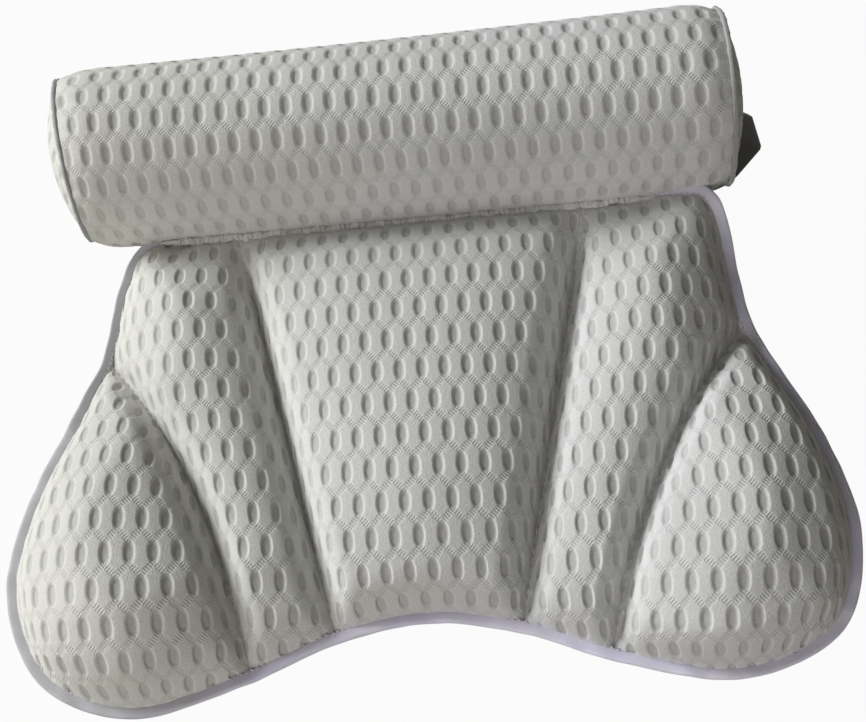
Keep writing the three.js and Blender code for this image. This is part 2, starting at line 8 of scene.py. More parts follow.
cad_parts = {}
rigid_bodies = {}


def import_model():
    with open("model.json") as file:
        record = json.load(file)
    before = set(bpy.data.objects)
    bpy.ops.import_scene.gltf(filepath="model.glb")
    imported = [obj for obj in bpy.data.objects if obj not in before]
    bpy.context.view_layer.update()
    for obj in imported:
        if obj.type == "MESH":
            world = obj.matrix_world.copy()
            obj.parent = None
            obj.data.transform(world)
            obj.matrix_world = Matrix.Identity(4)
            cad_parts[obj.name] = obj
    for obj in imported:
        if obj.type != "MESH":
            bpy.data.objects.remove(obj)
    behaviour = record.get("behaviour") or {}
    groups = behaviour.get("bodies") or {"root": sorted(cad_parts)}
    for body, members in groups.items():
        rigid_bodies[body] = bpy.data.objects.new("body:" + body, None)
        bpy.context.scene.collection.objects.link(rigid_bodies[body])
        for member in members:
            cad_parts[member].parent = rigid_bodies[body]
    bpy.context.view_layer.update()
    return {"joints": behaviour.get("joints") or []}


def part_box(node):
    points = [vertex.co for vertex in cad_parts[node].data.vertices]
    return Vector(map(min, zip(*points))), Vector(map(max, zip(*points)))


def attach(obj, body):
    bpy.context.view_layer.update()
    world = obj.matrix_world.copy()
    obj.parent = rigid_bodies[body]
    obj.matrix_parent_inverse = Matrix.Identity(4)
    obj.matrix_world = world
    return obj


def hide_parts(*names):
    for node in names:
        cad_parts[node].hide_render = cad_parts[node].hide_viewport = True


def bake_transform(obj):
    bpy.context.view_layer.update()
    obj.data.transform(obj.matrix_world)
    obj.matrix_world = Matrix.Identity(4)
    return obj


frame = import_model()

# Shapes are worked out in millimetres in the part's frame and scaled when a mesh is made.
MM = 0.001
JOINTS = {joint["name"]: joint for joint in frame["joints"]}


def joint_point(name):
    return np.array(JOINTS[name]["pos_m"], float) / MM


def node_box(node):
    low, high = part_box(node)
    return np.array(low) / MM, np.array(high) / MM


# Roll, from its cover and its piping. It is sewn on a little to the left and sags in the middle. Its
# ends lean, because the side that is sewn to the pad is drawn short: each end has a shift outwards,
# a lean, and the direction round the roll in which the lean draws it to the right.
ROLL_LOW, ROLL_HIGH = node_box("roll_cover")
ROLL_X, ROLL_Y, ROLL_Z = (ROLL_LOW + ROLL_HIGH) / 2
ROLL_RADIUS = (ROLL_HIGH[2] - ROLL_LOW[2]) / 2
PIPING_LOW, PIPING_HIGH = node_box("roll_piping_right")
PIPING_X = (PIPING_LOW[0] + PIPING_HIGH[0]) / 2 - ROLL_X
PIPING_RADIUS = 0.6 * (PIPING_HIGH[0] - PIPING_LOW[0]) / 2
END_REACH = node_box("roll_end_right")[1][0] - ROLL_X
ROLL_SHIFT = -3.0
ROLL_SAG = 0.9
ROLL_DRAW_IN = 3.6
ROLL_DRAW_LENGTH = 16
ROLL_ENDS = {-1: (-3.5, 7.2, math.radians(156)), 1: (0.9, 1.4, math.radians(115))}
ROLL_TAPER = 0.0028
ROLL_ROWS = 18
COVER_STEPS = (12, 14)
COVER_GAP = 1.2
DISC_GAP = 0.6
DISC_HALF_STEPS = 56
DISC_CLOTH_SHIFT = (3, 5)
END_BULGE = {-1: 2.6, 1: 0.3}
PIPING_SINK = {-1: 0.9, 1: -0.2}

# Pad levels and seams on the right half, from the joints and threads
HINGE = joint_point("roll_fold")
FOLD_POINT = joint_point("wing_fold_right")
EDGE_Z = FOLD_POINT[2]
JOIN_REACH = node_box("join_seam")[1][0] + 14
JOIN_RADIUS = 1.9
WELT_REACH = JOIN_REACH + 8
WELT_RISE = 3.0
WELT_OUT = 0.9
JOIN_Z = HINGE[2] + 4.5
OUTLINE_TOP = HINGE[1] - 2.3
PAD_TOP = ROLL_Y - math.sqrt(ROLL_RADIUS ** 2 - (ROLL_Z - JOIN_Z) ** 2) - 0.4
INNER_LOW, INNER_HIGH = node_box("seam_inner_right")
INNER_SEAM = np.array([INNER_HIGH[:2], INNER_LOW[:2]])
FOLD_START = FOLD_POINT[:2]
FOLD_ALONG = np.array(JOINTS["wing_fold_right"]["axis"][:2])
OUTER_SEAM = np.array([FOLD_START, FOLD_START + FOLD_ALONG])
OUTWARDS = np.array([-FOLD_ALONG[1], FOLD_ALONG[0]])

# The outer seams bow towards the pad's middle from the fold line, and the left one starts higher up.
SEAM_BOW = {-1: 11.5, 1: 9.0}
SEAM_RAISE = {-1: 9.0, 1: 0.0}

# Pad outline on each side, from the end of the join round to the bottom centre
OUTLINES = {
    1: [(JOIN_REACH, PAD_TOP - 0.3), (118, 69.2), (127, 69.2), (136, 66.8), (141.4, 61), (144.4, 53),
        (146.6, 43), (147.8, 31), (150.4, 8), (155, -6.5), (175.6, -54), (183.3, -96), (170.3, -135.5),
        (129.5, -153), (79, -143.2), (39.5, -128.2), (0, -121.0)],
    -1: [(JOIN_REACH, PAD_TOP - 0.3), (118, 71.0), (125, 70.4), (130.2, 66.6), (134, 61), (137.2, 53),
         (141, 42.5), (143.8, 27), (147, 12), (155.5, -6), (178.2, -54), (185, -96), (167.7, -135.3),
         (129, -152.5), (79, -142), (39.5, -127.2), (0, -121.0)],
}

# How the pad's edge comes up to the join: over what length, and what share of it the shoulders keep.
# Away from the edge the seams lie higher, most of all at the wings, so that the pad cradles the neck.
JOIN_RISE = JOIN_Z - EDGE_Z
RISE_LENGTH = 36
SHOULDER_RISE = {-1: 0.5, 1: 1.6}
SHOULDER_X = 134
CENTRE_LIFT = 2.5
WING_LIFT = 10
LIFT_REACH = 45

# Binding tape. Its outer edge stands up, most at the left neck and least along the left wing.
TAPE_WIDTH = 5.8
TAPE_START = 1.5
LEFT_NECK_WIDTH = 4.0
TAPE_RAMP = 20
TAPE_HALF_THICKNESS = 1.5
TAPE_LIFT = 1.4
LEFT_NECK_LIFT = 4.2
LEFT_WING_LIFT = 1.0
TAPE_WAVE = 0.35
CUSHION_TUCK = 1.8

# Crown of the channels: how each edge draws the cloth down, as (distance, fullness, share of a broad dome)
FRONT_CROWN = 26
BACK_DEPTH = 18
FRONT_EDGES = {
    "seam": (12, 2.3, 0.5), "centre_seam": (14, 2.3, 0.28), "top": (24, 2.0, 0.1),
    "binding": (16, 2.4, 0.38), "right_binding": (14, 2.4, 0.14),
}
BACK_EDGES = {
    "seam": (28, 2.0, 0.2), "centre_seam": (28, 2.0, 0.2), "top": (34, 2.0, 0.2),
    "binding": (28, 2.0, 0.2), "right_binding": (28, 2.0, 0.2),
}
BROAD_REACH = 52
EDGE_CROWDING = 0.55

# Dimples of the air mesh
DIMPLE_PITCH = 9.8
DIMPLE_ROW = 14.7
DIMPLE_HALF_WIDTH = 2.3
DIMPLE_HALF_HEIGHT = 4.8
DIMPLE_SQUARENESS = 2.4
DIMPLE_DEPTH = 1.0
DIMPLE_WALL = (0.68, 1.12)
NET_SINK = 0.12
NET_HALF_WIDTH = 1.3
STRAND_PITCH = 1.22

FRONT_FINENESS = 8
BACK_FINENESS = 2


# Lines and patches

def smooth_curve(points, per_span=24):
    """A smooth line through the given points, as a centripetal spline."""
    points = np.asarray(points, float)
    guides = np.concatenate([[2 * points[0] - points[1]], points, [2 * points[-1] - points[-2]]])
    spans = np.linalg.norm(np.diff(guides, axis=0), axis=1) ** 0.5
    share = np.linspace(0, 1, per_span, endpoint=False)[:, None]
    line = []
    for i in range(len(points) - 1):
        a, b, c, d = guides[i:i + 4]
        before, here, after = spans[i:i + 3]
        leave = ((b - a) / before - (c - a) / (before + here) + (c - b) / here) * here
        arrive = ((c - b) / here - (d - b) / (here + after) + (d - c) / after) * here
        square = 3 * (c - b) - 2 * leave - arrive
        cube = 2 * (b - c) + leave + arrive
        line.append(b + leave * share + square * share ** 2 + cube * share ** 3)
    return np.concatenate(line + [points[-1:]])


def lengths_along(points):
    return np.concatenate([[0], np.cumsum(np.linalg.norm(np.diff(points, axis=0), axis=1))])


def sampled(line, lengths, wanted):
    """Points of a line at the wanted lengths along it."""
    return np.stack([np.interp(wanted, lengths, column) for column in line.T], -1)


def evenly(points, count):
    """The same line with its points at equal distances."""
    lengths = lengths_along(points)
    return sampled(points, lengths, np.linspace(0, lengths[-1], count))


def smoothstep(low, high, value):
    share = np.clip((value - low) / (high - low), 0, 1)
    return share * share * (3 - 2 * share)


def on_left(x):
    """How far a place counts as the pad's left side, from 0 to 1."""
    return smoothstep(-95, -130, x)


EDGE_STEPS = 1100
outline = OUTLINES[1] + [(-x, y) for x, y in reversed(OUTLINES[-1][:-1])]
edge_line = evenly(smooth_curve(outline), EDGE_STEPS + 1)
edge_tangent = np.gradient(edge_line, axis=0)
edge_tangent /= np.linalg.norm(edge_tangent, axis=1, keepdims=True)
edge_inwards = np.stack([edge_tangent[:, 1], -edge_tangent[:, 0]], 1)
edge_length = lengths_along(edge_line)
EDGE_STEP = edge_length[-1] / EDGE_STEPS
edge_from_end = np.minimum(edge_length, edge_length[-1] - edge_length)
left_neck = on_left(edge_line[:, 0]) * smoothstep(-20, 8, edge_line[:, 1])
full_width = TAPE_WIDTH + (LEFT_NECK_WIDTH - TAPE_WIDTH) * left_neck
tape_width = TAPE_START + (full_width - TAPE_START) * smoothstep(0, TAPE_RAMP, edge_from_end)


def edge_path(inset):
    """The pad's edge moved inwards by the tape's width and a further inset."""
    return edge_line + edge_inwards * (tape_width + inset)[:, None]


def across(seam, points):
    """Distance from a seam's line, counted away from the pad's middle."""
    along = (seam[1] - seam[0]) / np.linalg.norm(seam[1] - seam[0])
    return (points - seam[0]) @ np.array([-along[1], along[0]])


def crossings(path, seam):
    """Where a seam crosses a path, counted in the path's points."""
    offset = across(seam, path)
    found = np.nonzero(offset[:-1] * offset[1:] < 0)[0]
    return [i + offset[i] / (offset[i] - offset[i + 1]) for i in found]


def stretch(path, start, stop, share):
    """Points on a path at shares of the way from one place on it to another."""
    return sampled(path, np.arange(len(path)), start + (stop - start) * np.asarray(share))


def straight(start, stop, share):
    share = np.asarray(share)[:, None]
    return np.asarray(start) * (1 - share) + np.asarray(stop) * share


def shares(count):
    """Shares from 0 to 1, closer together near both ends, where the cloth is drawn down."""
    even = np.linspace(0, 1, count)
    eased = 0.5 - 0.5 * np.cos(np.pi * even)
    return even + EDGE_CROWDING * (eased - even)


def patch(top, bottom, left, right, u, v):
    """A grid of points filling the space between four lines that meet at their ends."""
    u = u[None, :, None]
    v = v[:, None, None]
    downwards = top[None] * (1 - v) + bottom[None] * v
    sideways = left[:, None] * (1 - u) + right[:, None] * u
    corners = (top[0] * (1 - u) + top[-1] * u) * (1 - v) + (bottom[0] * (1 - u) + bottom[-1] * u) * v
    return downwards + sideways - corners


def seen_from(side, path):
    """A path round the pad's edge, or its mirror image that starts on the left."""
    return path if side > 0 else (path * (-1, 1))[::-1]


cushion_edges = {side: seen_from(side, edge_path(-CUSHION_TUCK)) for side in (-1, 1)}


def edge_rise(points):
    """How far the pad's edge plane comes up towards the join with the roll."""
    x, y = points[..., 0], points[..., 1]
    near = smoothstep(OUTLINE_TOP - RISE_LENGTH, OUTLINE_TOP, y)
    kept = np.where(x < 0, SHOULDER_RISE[-1], SHOULDER_RISE[1])
    outwards = smoothstep(JOIN_REACH - 12, SHOULDER_X, np.abs(x))
    return JOIN_RISE * near * (1 - (1 - kept) * outwards)


def seam_lift(points):
    """How far the seams lie above the edge plane, from the centre channel's sides to the wings."""
    folded = np.stack([np.abs(points[..., 0]), points[..., 1]], -1)
    from_inner = np.maximum(across(INNER_SEAM, folded), 0)
    to_outer = np.maximum(-across(OUTER_SEAM, folded), 0)
    share = from_inner / np.maximum(from_inner + to_outer, 1e-6)
    inside = smoothstep(TAPE_WIDTH, LIFT_REACH, edge_distance(points, edge_line))
    below_join = 1 - smoothstep(OUTLINE_TOP - RISE_LENGTH, OUTLINE_TOP, points[..., 1])
    return (CENTRE_LIFT + (WING_LIFT - CENTRE_LIFT) * share) * inside * below_join


def join_distance(points):
    """Distance from the stretch of the pad's edge that is sewn to the roll."""
    beyond = np.maximum(np.abs(points[..., 0]) - JOIN_REACH, 0)
    return np.hypot(beyond, PAD_TOP - points[..., 1])


def edge_distance(points, edge):
    flat = points.reshape(-1, 2)
    gaps = np.linalg.norm(flat[:, None] - edge[None, ::2], axis=2)
    return gaps.min(1).reshape(points.shape[:-1])


def seam_ends(edge, side):
    """Where an outer seam starts at the neck and stops at the heel, counted in the edge's points."""
    neck, heel = crossings(edge, OUTER_SEAM)
    return neck - SEAM_RAISE[side] / EDGE_STEP, heel


def bowed(start, stop, share, side):
    """Points of an outer seam, which bows towards the pad's middle between its ends."""
    share = np.asarray(share)
    return straight(start, stop, share) - OUTWARDS * (4 * SEAM_BOW[side] * share * (1 - share))[:, None]


def bowed_distance(start, stop, points, side):
    """Distance from a bowed outer seam, counted away from the pad's middle."""
    span = stop - start
    share = np.clip((points - start) @ span / (span @ span), 0, 1)
    return across((start, stop), points) + 4 * SEAM_BOW[side] * share * (1 - share)


def seam_at(seam, y):
    share = (y - seam[0][1]) / (seam[1][1] - seam[0][1])
    return seam[0] + share * (seam[1] - seam[0])


def bound_edge(side):
    return "binding" if side < 0 else "right_binding"


def centre_plan(rows=40, columns=34):
    u, v = shares(columns), shares(rows)
    edge = cushion_edges[1]
    foot = crossings(edge, INNER_SEAM)[0]
    left_foot = EDGE_STEPS - crossings(cushion_edges[-1], INNER_SEAM)[0]
    right_top = seam_at(INNER_SEAM, PAD_TOP)
    left_top = right_top * (-1, 1)
    top = straight(left_top, right_top, u)
    bottom = stretch(edge, left_foot, foot, u)
    plan = patch(top, bottom, straight(left_top, bottom[0], v), straight(right_top, bottom[-1], v), u, v)
    mirrored = plan * (-1, 1)
    return plan, {"centre_seam": [-across(INNER_SEAM, plan), -across(INNER_SEAM, mirrored)],
                  "top": [join_distance(plan)], "binding": [edge_distance(plan, edge)]}


def inner_plan(side, rows=42, columns=25, shoulder_share=0.46):
    u, v = shares(columns), shares(rows)
    shoulder_share = v[np.abs(v - shoulder_share).argmin()]
    edge = cushion_edges[side]
    neck, heel = seam_ends(edge, side)
    foot = crossings(edge, INNER_SEAM)[0]
    left_top = seam_at(INNER_SEAM, PAD_TOP)
    neck_point, heel_point, foot_point = (stretch(edge, k, k, [0])[0] for k in (neck, heel, foot))
    shoulder = stretch(edge, 0, neck, np.clip(v / shoulder_share, 0, 1))
    fold = bowed(neck_point, heel_point, np.clip((v - shoulder_share) / (1 - shoulder_share), 0, 1), side)
    right = np.where((v < shoulder_share)[:, None], shoulder, fold)
    plan = patch(straight(left_top, edge[0], u), stretch(edge, foot, heel, u),
                 straight(left_top, foot_point, v), right, u, v)
    return plan, {"seam": [across(INNER_SEAM, plan), -bowed_distance(neck_point, heel_point, plan, side)],
                  "top": [join_distance(plan)], bound_edge(side): [edge_distance(plan, edge)]}


def wing_plan(side, rows=34, columns=26, first_corner=0.27, second_corner=0.7):
    u, v = shares(columns), shares(rows)
    edge = cushion_edges[side]
    neck, heel = seam_ends(edge, side)
    corner_a = neck + (heel - neck) * first_corner
    corner_b = neck + (heel - neck) * second_corner
    neck_point, heel_point = (stretch(edge, k, k, [0])[0] for k in (neck, heel))
    plan = patch(stretch(edge, neck, corner_a, u), stretch(edge, heel, corner_b, u),
                 bowed(neck_point, heel_point, v, side), stretch(edge, corner_a, corner_b, v), u, v)
    return plan, {"seam": [bowed_distance(neck_point, heel_point, plan, side)],
                  bound_edge(side): [edge_distance(plan, edge)]}


# Crowned cushions

def drawn_down(distance, edge):
    """Share of the crown's height at a distance from an edge: a steep side and a broad low dome."""
    shoulder, fullness, broad = edge
    side = 1 - (1 - np.clip(distance / shoulder, 0, 1)) ** fullness
    dome = 1 - (1 - np.clip(distance / BROAD_REACH, 0, 1)) ** 2
    return side * (1 - broad + broad * dome)


def crown(distances, edges):
    height = 1
    for kind, found in distances.items():
        for distance in found:
            height = height * drawn_down(distance, edges[kind])
    height[[0, -1], :] = 0
    height[:, [0, -1]] = 0
    return height


def spline_weights(count, fineness):
    """Weights that turn count values into a smooth run with fineness steps between each two."""
    places = np.arange((count - 1) * fineness + 1) / fineness
    before = np.minimum(places.astype(int), count - 2)
    t = places - before
    weights = np.zeros((len(places), count + 2))
    rows = np.arange(len(places))
    cubic = (-t + 2 * t ** 2 - t ** 3, 2 - 5 * t ** 2 + 3 * t ** 3,
             t + 4 * t ** 2 - 3 * t ** 3, t ** 3 - t ** 2)
    for k, value in enumerate(cubic):
        weights[rows, before + k] = value / 2
    weights[:, 1] += 2 * weights[:, 0]
    weights[:, 2] -= weights[:, 0]
    weights[:, -2] += 2 * weights[:, -1]
    weights[:, -3] -= weights[:, -1]
    return weights[:, 1:-1]


def finer(grid, fineness):
    down = spline_weights(grid.shape[0], fineness)
    along = spline_weights(grid.shape[1], fineness)
    return np.einsum("ir,rck,jc->ijk", down, grid, along, optimize=True)


def grid_faces(rows, columns):
    index = np.arange(rows * columns).reshape(rows, columns)
    return np.stack([index[:-1, :-1], index[1:, :-1], index[1:, 1:], index[:-1, 1:]], -1).reshape(-1, 4)


def grid_normals(grid):
    normal = np.cross(np.gradient(grid, axis=1), np.gradient(grid, axis=0))
    normal *= -1
    return normal / np.maximum(np.linalg.norm(normal, axis=2, keepdims=True), 1e-9)


def flattened(grid, rounds=80):
    """The cloth of a crowned surface laid flat with the least stretch, as a grid of (across, along)."""
    rows, columns = grid.shape[:2]
    points = grid.reshape(-1, 3)
    quads = grid_faces(rows, columns)
    triangles = np.concatenate([quads[:, [0, 1, 2]], quads[:, [0, 2, 3]]])
    a, b, c = (points[triangles[:, k]] for k in range(3))
    side = np.linalg.norm(b - a, axis=1)
    along = np.einsum("ij,ij->i", c - a, b - a) / side
    rise = np.linalg.norm(np.cross(b - a, c - a), axis=1) / side
    zero = np.zeros_like(side)
    shape = np.stack([np.stack([zero, zero], 1), np.stack([side, zero], 1), np.stack([along, rise], 1)], 1)
    edges = np.roll(shape, -1, axis=1) - shape
    opposite = np.roll(edges, -1, axis=1), -np.roll(edges, -2, axis=1)
    dots = (opposite[0] * -opposite[1]).sum(2) * -1
    turns = np.abs(opposite[0][..., 0] * opposite[1][..., 1] - opposite[0][..., 1] * opposite[1][..., 0])
    weight = np.clip(dots / np.maximum(turns, 1e-9), 0.02, 20)
    starts, stops = triangles, np.roll(triangles, -1, axis=1)
    count = len(points)
    spread = np.zeros((count, count))
    pairs = (starts, starts, 1), (stops, stops, 1), (starts, stops, -1), (stops, starts, -1)
    for first, second, sign in pairs:
        np.add.at(spread, (first.ravel(), second.ravel()), sign * weight.ravel())
    solve = np.linalg.inv(spread + 1e-6 * np.eye(count))
    flat = points[:, :2].copy()
    for _ in range(rounds):
        moved = flat[stops] - flat[starts]
        fit = np.einsum("te,tei,tej->tij", weight, moved, edges)
        angle = np.arctan2(fit[:, 1, 0] - fit[:, 0, 1], fit[:, 0, 0] + fit[:, 1, 1])
        cosine, sine = np.cos(angle)[:, None], np.sin(angle)[:, None]
        turned = np.stack([cosine * edges[..., 0] - sine * edges[..., 1],
                           sine * edges[..., 0] + cosine * edges[..., 1]], 2) * weight[..., None]
        pull = np.zeros((count, 2))
        np.add.at(pull, stops.ravel(), turned.reshape(-1, 2))
        np.add.at(pull, starts.ravel(), -turned.reshape(-1, 2))
        flat = solve @ (pull + 1e-6 * points[:, :2])
    return flat.reshape(rows, columns, 2)


def oval(x, y):
    """How far out a point lies in a dimple: 1 on its rim."""
    power = DIMPLE_SQUARENESS
    return ((x / DIMPLE_HALF_WIDTH) ** power + (y / DIMPLE_HALF_HEIGHT) ** power) ** (1 / power)


def dimples(u, v):
    """Height of the air mesh over its base cloth: dimples in staggered rows and the net between them."""
    row = np.floor(v / DIMPLE_ROW)
    below = v - row * DIMPLE_ROW
    half = DIMPLE_PITCH / 2
    beside = np.abs((u / DIMPLE_PITCH + (row % 2) / 2 + 0.5) % 1 - 0.5) * DIMPLE_PITCH
    near = oval(beside, below)
    far = oval(half - beside, DIMPLE_ROW - below)
    hollow = 1 - smoothstep(*DIMPLE_WALL, np.minimum(near, far))
    reach = np.array([half, DIMPLE_ROW - 2 * DIMPLE_HALF_HEIGHT])
    reach /= np.linalg.norm(reach)
    off = np.abs(beside * reach[1] - (below - DIMPLE_HALF_HEIGHT) * reach[0])
    net = 1 - smoothstep(0.6 * NET_HALF_WIDTH, 1.5 * NET_HALF_WIDTH, off)
    return -DIMPLE_DEPTH * hollow - NET_SINK * net * (1 - hollow)


def ripple(place, seed, shortest=9.0, longest=30.0, waves=6):
    """A smooth uneven wave along a line, between about -1 and 1."""
    draw = np.random.default_rng(seed)
    lengths = np.geomspace(shortest, longest, waves)
    phases = draw.uniform(0, 2 * np.pi, waves)
    total = sum(np.sin(2 * np.pi * place / length + phase) for length, phase in zip(lengths, phases))
    return total / waves ** 0.5


def add_to_scene(name, data):
    thing = bpy.data.objects.new(name, data)
    bpy.context.scene.collection.objects.link(thing)
    return thing


def new_object(name, points, faces, materials):
    mesh = bpy.data.meshes.new(name)
    mesh.from_pydata((np.asarray(points) * MM).tolist(), [], [list(map(int, face)) for face in faces])
    mesh.shade_smooth()
    for material in materials:
        mesh.materials.append(material)
    return add_to_scene(name, mesh)


def lay_cloth(mesh, corners):
    """Cloth coordinates in millimetres, one pair for each face corner."""
    layer = mesh.uv_layers.new(name="cloth")
    layer.data.foreach_set("uv", np.asarray(corners, np.float32).ravel())


def corner_vertices(mesh):
    index = np.zeros(len(mesh.loops), np.int32)
    mesh.loops.foreach_get("vertex_index", index)
    return index


def crease(mesh, vertices):
    """Keeps the edges between the given vertices sharp."""
    on_crease = np.zeros(len(mesh.vertices), bool)
    on_crease[vertices] = True
    ends = np.zeros(len(mesh.edges) * 2, np.int32)
    mesh.edges.foreach_get("vertices", ends)
    sharp = on_crease[ends.reshape(-1, 2)].all(1)
    mesh.attributes.new("sharp_edge", "BOOLEAN", "EDGE").data.foreach_set("value", sharp)


def cloth_piece(name, points, faces, material, flat, sharp=()):
    """A piece with a cloth place for each vertex, and sharp edges between some of them."""
    piece = new_object(name, points, faces, [material])
    lay_cloth(piece.data, flat[corner_vertices(piece.data)])
    if len(sharp):
        crease(piece.data, sharp)
    return piece


def border_mask(rows, columns):
    mask = np.ones((rows, columns), bool)
    mask[1:-1, 1:-1] = False
    return mask


STUFFING_FRAMES = 20
STUFFING_PRESSURE = 4
SWELL_LIMIT = 4.0
PUCKER_DEPTH = 0.3
PUCKER_REACH = 6


def stuffed(front, back):
    """Swells a channel's two covers against their sewn border by a cloth simulation."""
    rows, columns = front.shape[:2]
    border = border_mask(rows, columns)
    back_index = np.arange(rows * columns).reshape(rows, columns)
    back_index[~border] = rows * columns + np.arange((~border).sum())
    quads = grid_faces(rows, columns)
    back_quads = back_index.ravel()[quads][:, ::-1]
    points = np.concatenate([front.reshape(-1, 3), back[~border]])
    case = new_object("stuffing_case", points, np.concatenate([quads, back_quads]), [])
    sewn = case.vertex_groups.new(name="sewn")
    sewn.add(np.nonzero(border.ravel())[0].tolist(), 1.0, "REPLACE")
    cloth = case.modifiers.new("stuffing", "CLOTH")
    settings = cloth.settings
    settings.quality = 6
    settings.mass = 0.2
    settings.tension_stiffness = settings.compression_stiffness = 18
    settings.shear_stiffness = 6
    settings.bending_stiffness = 4
    settings.vertex_group_mass = sewn.name
    settings.use_pressure = True
    settings.uniform_pressure_force = STUFFING_PRESSURE
    settings.effector_weights.gravity = 0
    scene = bpy.context.scene
    for step in range(1, STUFFING_FRAMES + 1):
        scene.frame_set(step)
    swollen = case.evaluated_get(bpy.context.evaluated_depsgraph_get())
    result = np.zeros(len(points) * 3, np.float32)
    swollen.data.vertices.foreach_get("co", result)
    moved = result.reshape(-1, 3) / MM - points
    scene.frame_set(1)
    bpy.data.objects.remove(case)
    reach = np.linalg.norm(moved, axis=1, keepdims=True)
    moved *= np.minimum(1, SWELL_LIMIT / np.maximum(reach, 1e-9))
    points = points + moved
    new_front = points[:rows * columns].reshape(rows, columns, 3)
    new_back = new_front.copy()
    new_back[~border] = points[rows * columns:]
    return new_front, new_back


def cushion(name, plan, distances, left_side, seed, materials):
    """One channel as a closed crowned form: dimpled mesh in front, plain mesh behind."""
    front_share, back_share = crown(distances, FRONT_EDGES), crown(distances, BACK_EDGES)
    if left_side:
        plan = (plan * (-1, 1))[:, ::-1]
        front_share, back_share = front_share[:, ::-1], back_share[:, ::-1]
    rise, lift = edge_rise(plan), seam_lift(plan)
    front = np.dstack([plan, EDGE_Z + rise + lift + (FRONT_CROWN - rise) * front_share])
    back = np.dstack([plan, EDGE_Z + rise + lift - (BACK_DEPTH + lift) * back_share])
    front, back = stuffed(front, back)
    cloth = finer(flattened(front), FRONT_FINENESS)
    fine = finer(front, FRONT_FINENESS)
    coarse = finer(back, BACK_FINENESS)
    borders = fine[:1], fine[-1:], fine[:, :1], fine[:, -1:]
    inside = np.minimum.reduce([np.linalg.norm(fine - border, axis=2) for border in borders])
    relief = dimples(cloth[..., 0], cloth[..., 1]) * smoothstep(0.5, 3, inside)
    pucker = PUCKER_DEPTH * np.exp(-inside / PUCKER_REACH) * smoothstep(0, 3, inside)
    relief += pucker * ripple(cloth[..., 1] + 0.4 * cloth[..., 0], seed)
    fine = fine + grid_normals(fine) * relief[..., None]
    points, faces, front_count = closed_form(fine, coarse, FRONT_FINENESS // BACK_FINENESS)
    piece = new_object(name, points, faces, materials)
    behind = np.arange(len(faces)) >= front_count
    piece.data.polygons.foreach_set("material_index", behind.astype(np.int32))
    vertex = corner_vertices(piece.data)
    on_border = border_mask(*fine.shape[:2]).ravel()
    flat = np.concatenate([cloth.reshape(-1, 2), np.zeros((len(points) - len(on_border), 2))])
    in_front = np.arange(len(vertex)) < 4 * front_count
    lay_cloth(piece.data, np.where(in_front[:, None], flat[vertex], points[vertex][:, :2]))
    crease(piece.data, np.nonzero(on_border)[0])
    return piece


def closed_form(fine, coarse, ratio):
    """Points and faces of a fine front grid closed by a coarser back grid with the same border."""
    rows, columns = fine.shape[:2]
    back_rows, back_columns = coarse.shape[:2]
    front_index = np.arange(rows * columns).reshape(rows, columns)
    back_index = front_index[::ratio, ::ratio].copy()
    inner = ~border_mask(back_rows, back_columns)
    back_index[inner] = rows * columns + np.arange(inner.sum())
    points = np.concatenate([fine.reshape(-1, 3), coarse[inner]])
    faces = grid_faces(rows, columns).tolist()
    front_count = len(faces)
    for r in range(back_rows - 1):
        for c in range(back_columns - 1):
            top, left = r * ratio, c * ratio
            low, right = top + ratio, left + ratio
            face = [back_index[r, c]]
            if r == 0:
                face += front_index[0, left + 1:right].tolist()
            face.append(back_index[r, c + 1])
            if c == back_columns - 2:
                face += front_index[top + 1:low, columns - 1].tolist()
            face.append(back_index[r + 1, c + 1])
            if r == back_rows - 2:
                face += front_index[rows - 1, left + 1:right][::-1].tolist()
            face.append(back_index[r + 1, c])
            if c == 0:
                face += front_index[top + 1:low, 0][::-1].tolist()
            faces.append(face)
    return points, faces, front_count


# Round and long pieces

def on_roll(along, out, angle):
    """Points at a distance along the roll from its middle, out from its axis and round it from the back."""
    along, out, angle = np.broadcast_arrays(along, out, angle)
    share = np.minimum(np.abs(along) / PIPING_X, 1)
    ends = zip(ROLL_ENDS[-1], ROLL_ENDS[1])
    shift, lean, turn = (np.where(along < 0, left, right) for left, right in ends)
    leant = shift + lean * np.cos(angle - turn) * np.minimum(out / ROLL_RADIUS, 1)
    sag = ROLL_SAG * (1 - share ** 2)
    out = out * (1 + ROLL_TAPER * along / ROLL_RADIUS)
    y = ROLL_Y - sag + out * np.cos(angle)
    z = ROLL_Z - sag + out * np.sin(angle)
    return np.stack([ROLL_X + ROLL_SHIFT + along + leant * share ** 8, y, z], -1)


def tube_faces(rings, steps, closed=False):
    index = np.arange(rings * steps).reshape(rings, steps)
    if closed:
        index = np.concatenate([index, index[:1]])
    after = np.roll(index, -1, axis=1)
    return np.stack([index[:-1], after[:-1], after[1:], index[1:]], -1).reshape(-1, 4)


def capped_tube(rings, steps, flipped=False):
    """Faces of a tube with both ends closed, and the vertices of its two ends."""
    first = list(range(steps))
    last = [(rings - 1) * steps + k for k in first]
    faces = tube_faces(rings, steps).tolist() + [first[::-1], last]
    return [face[::-1] for face in faces] if flipped else faces, first + last


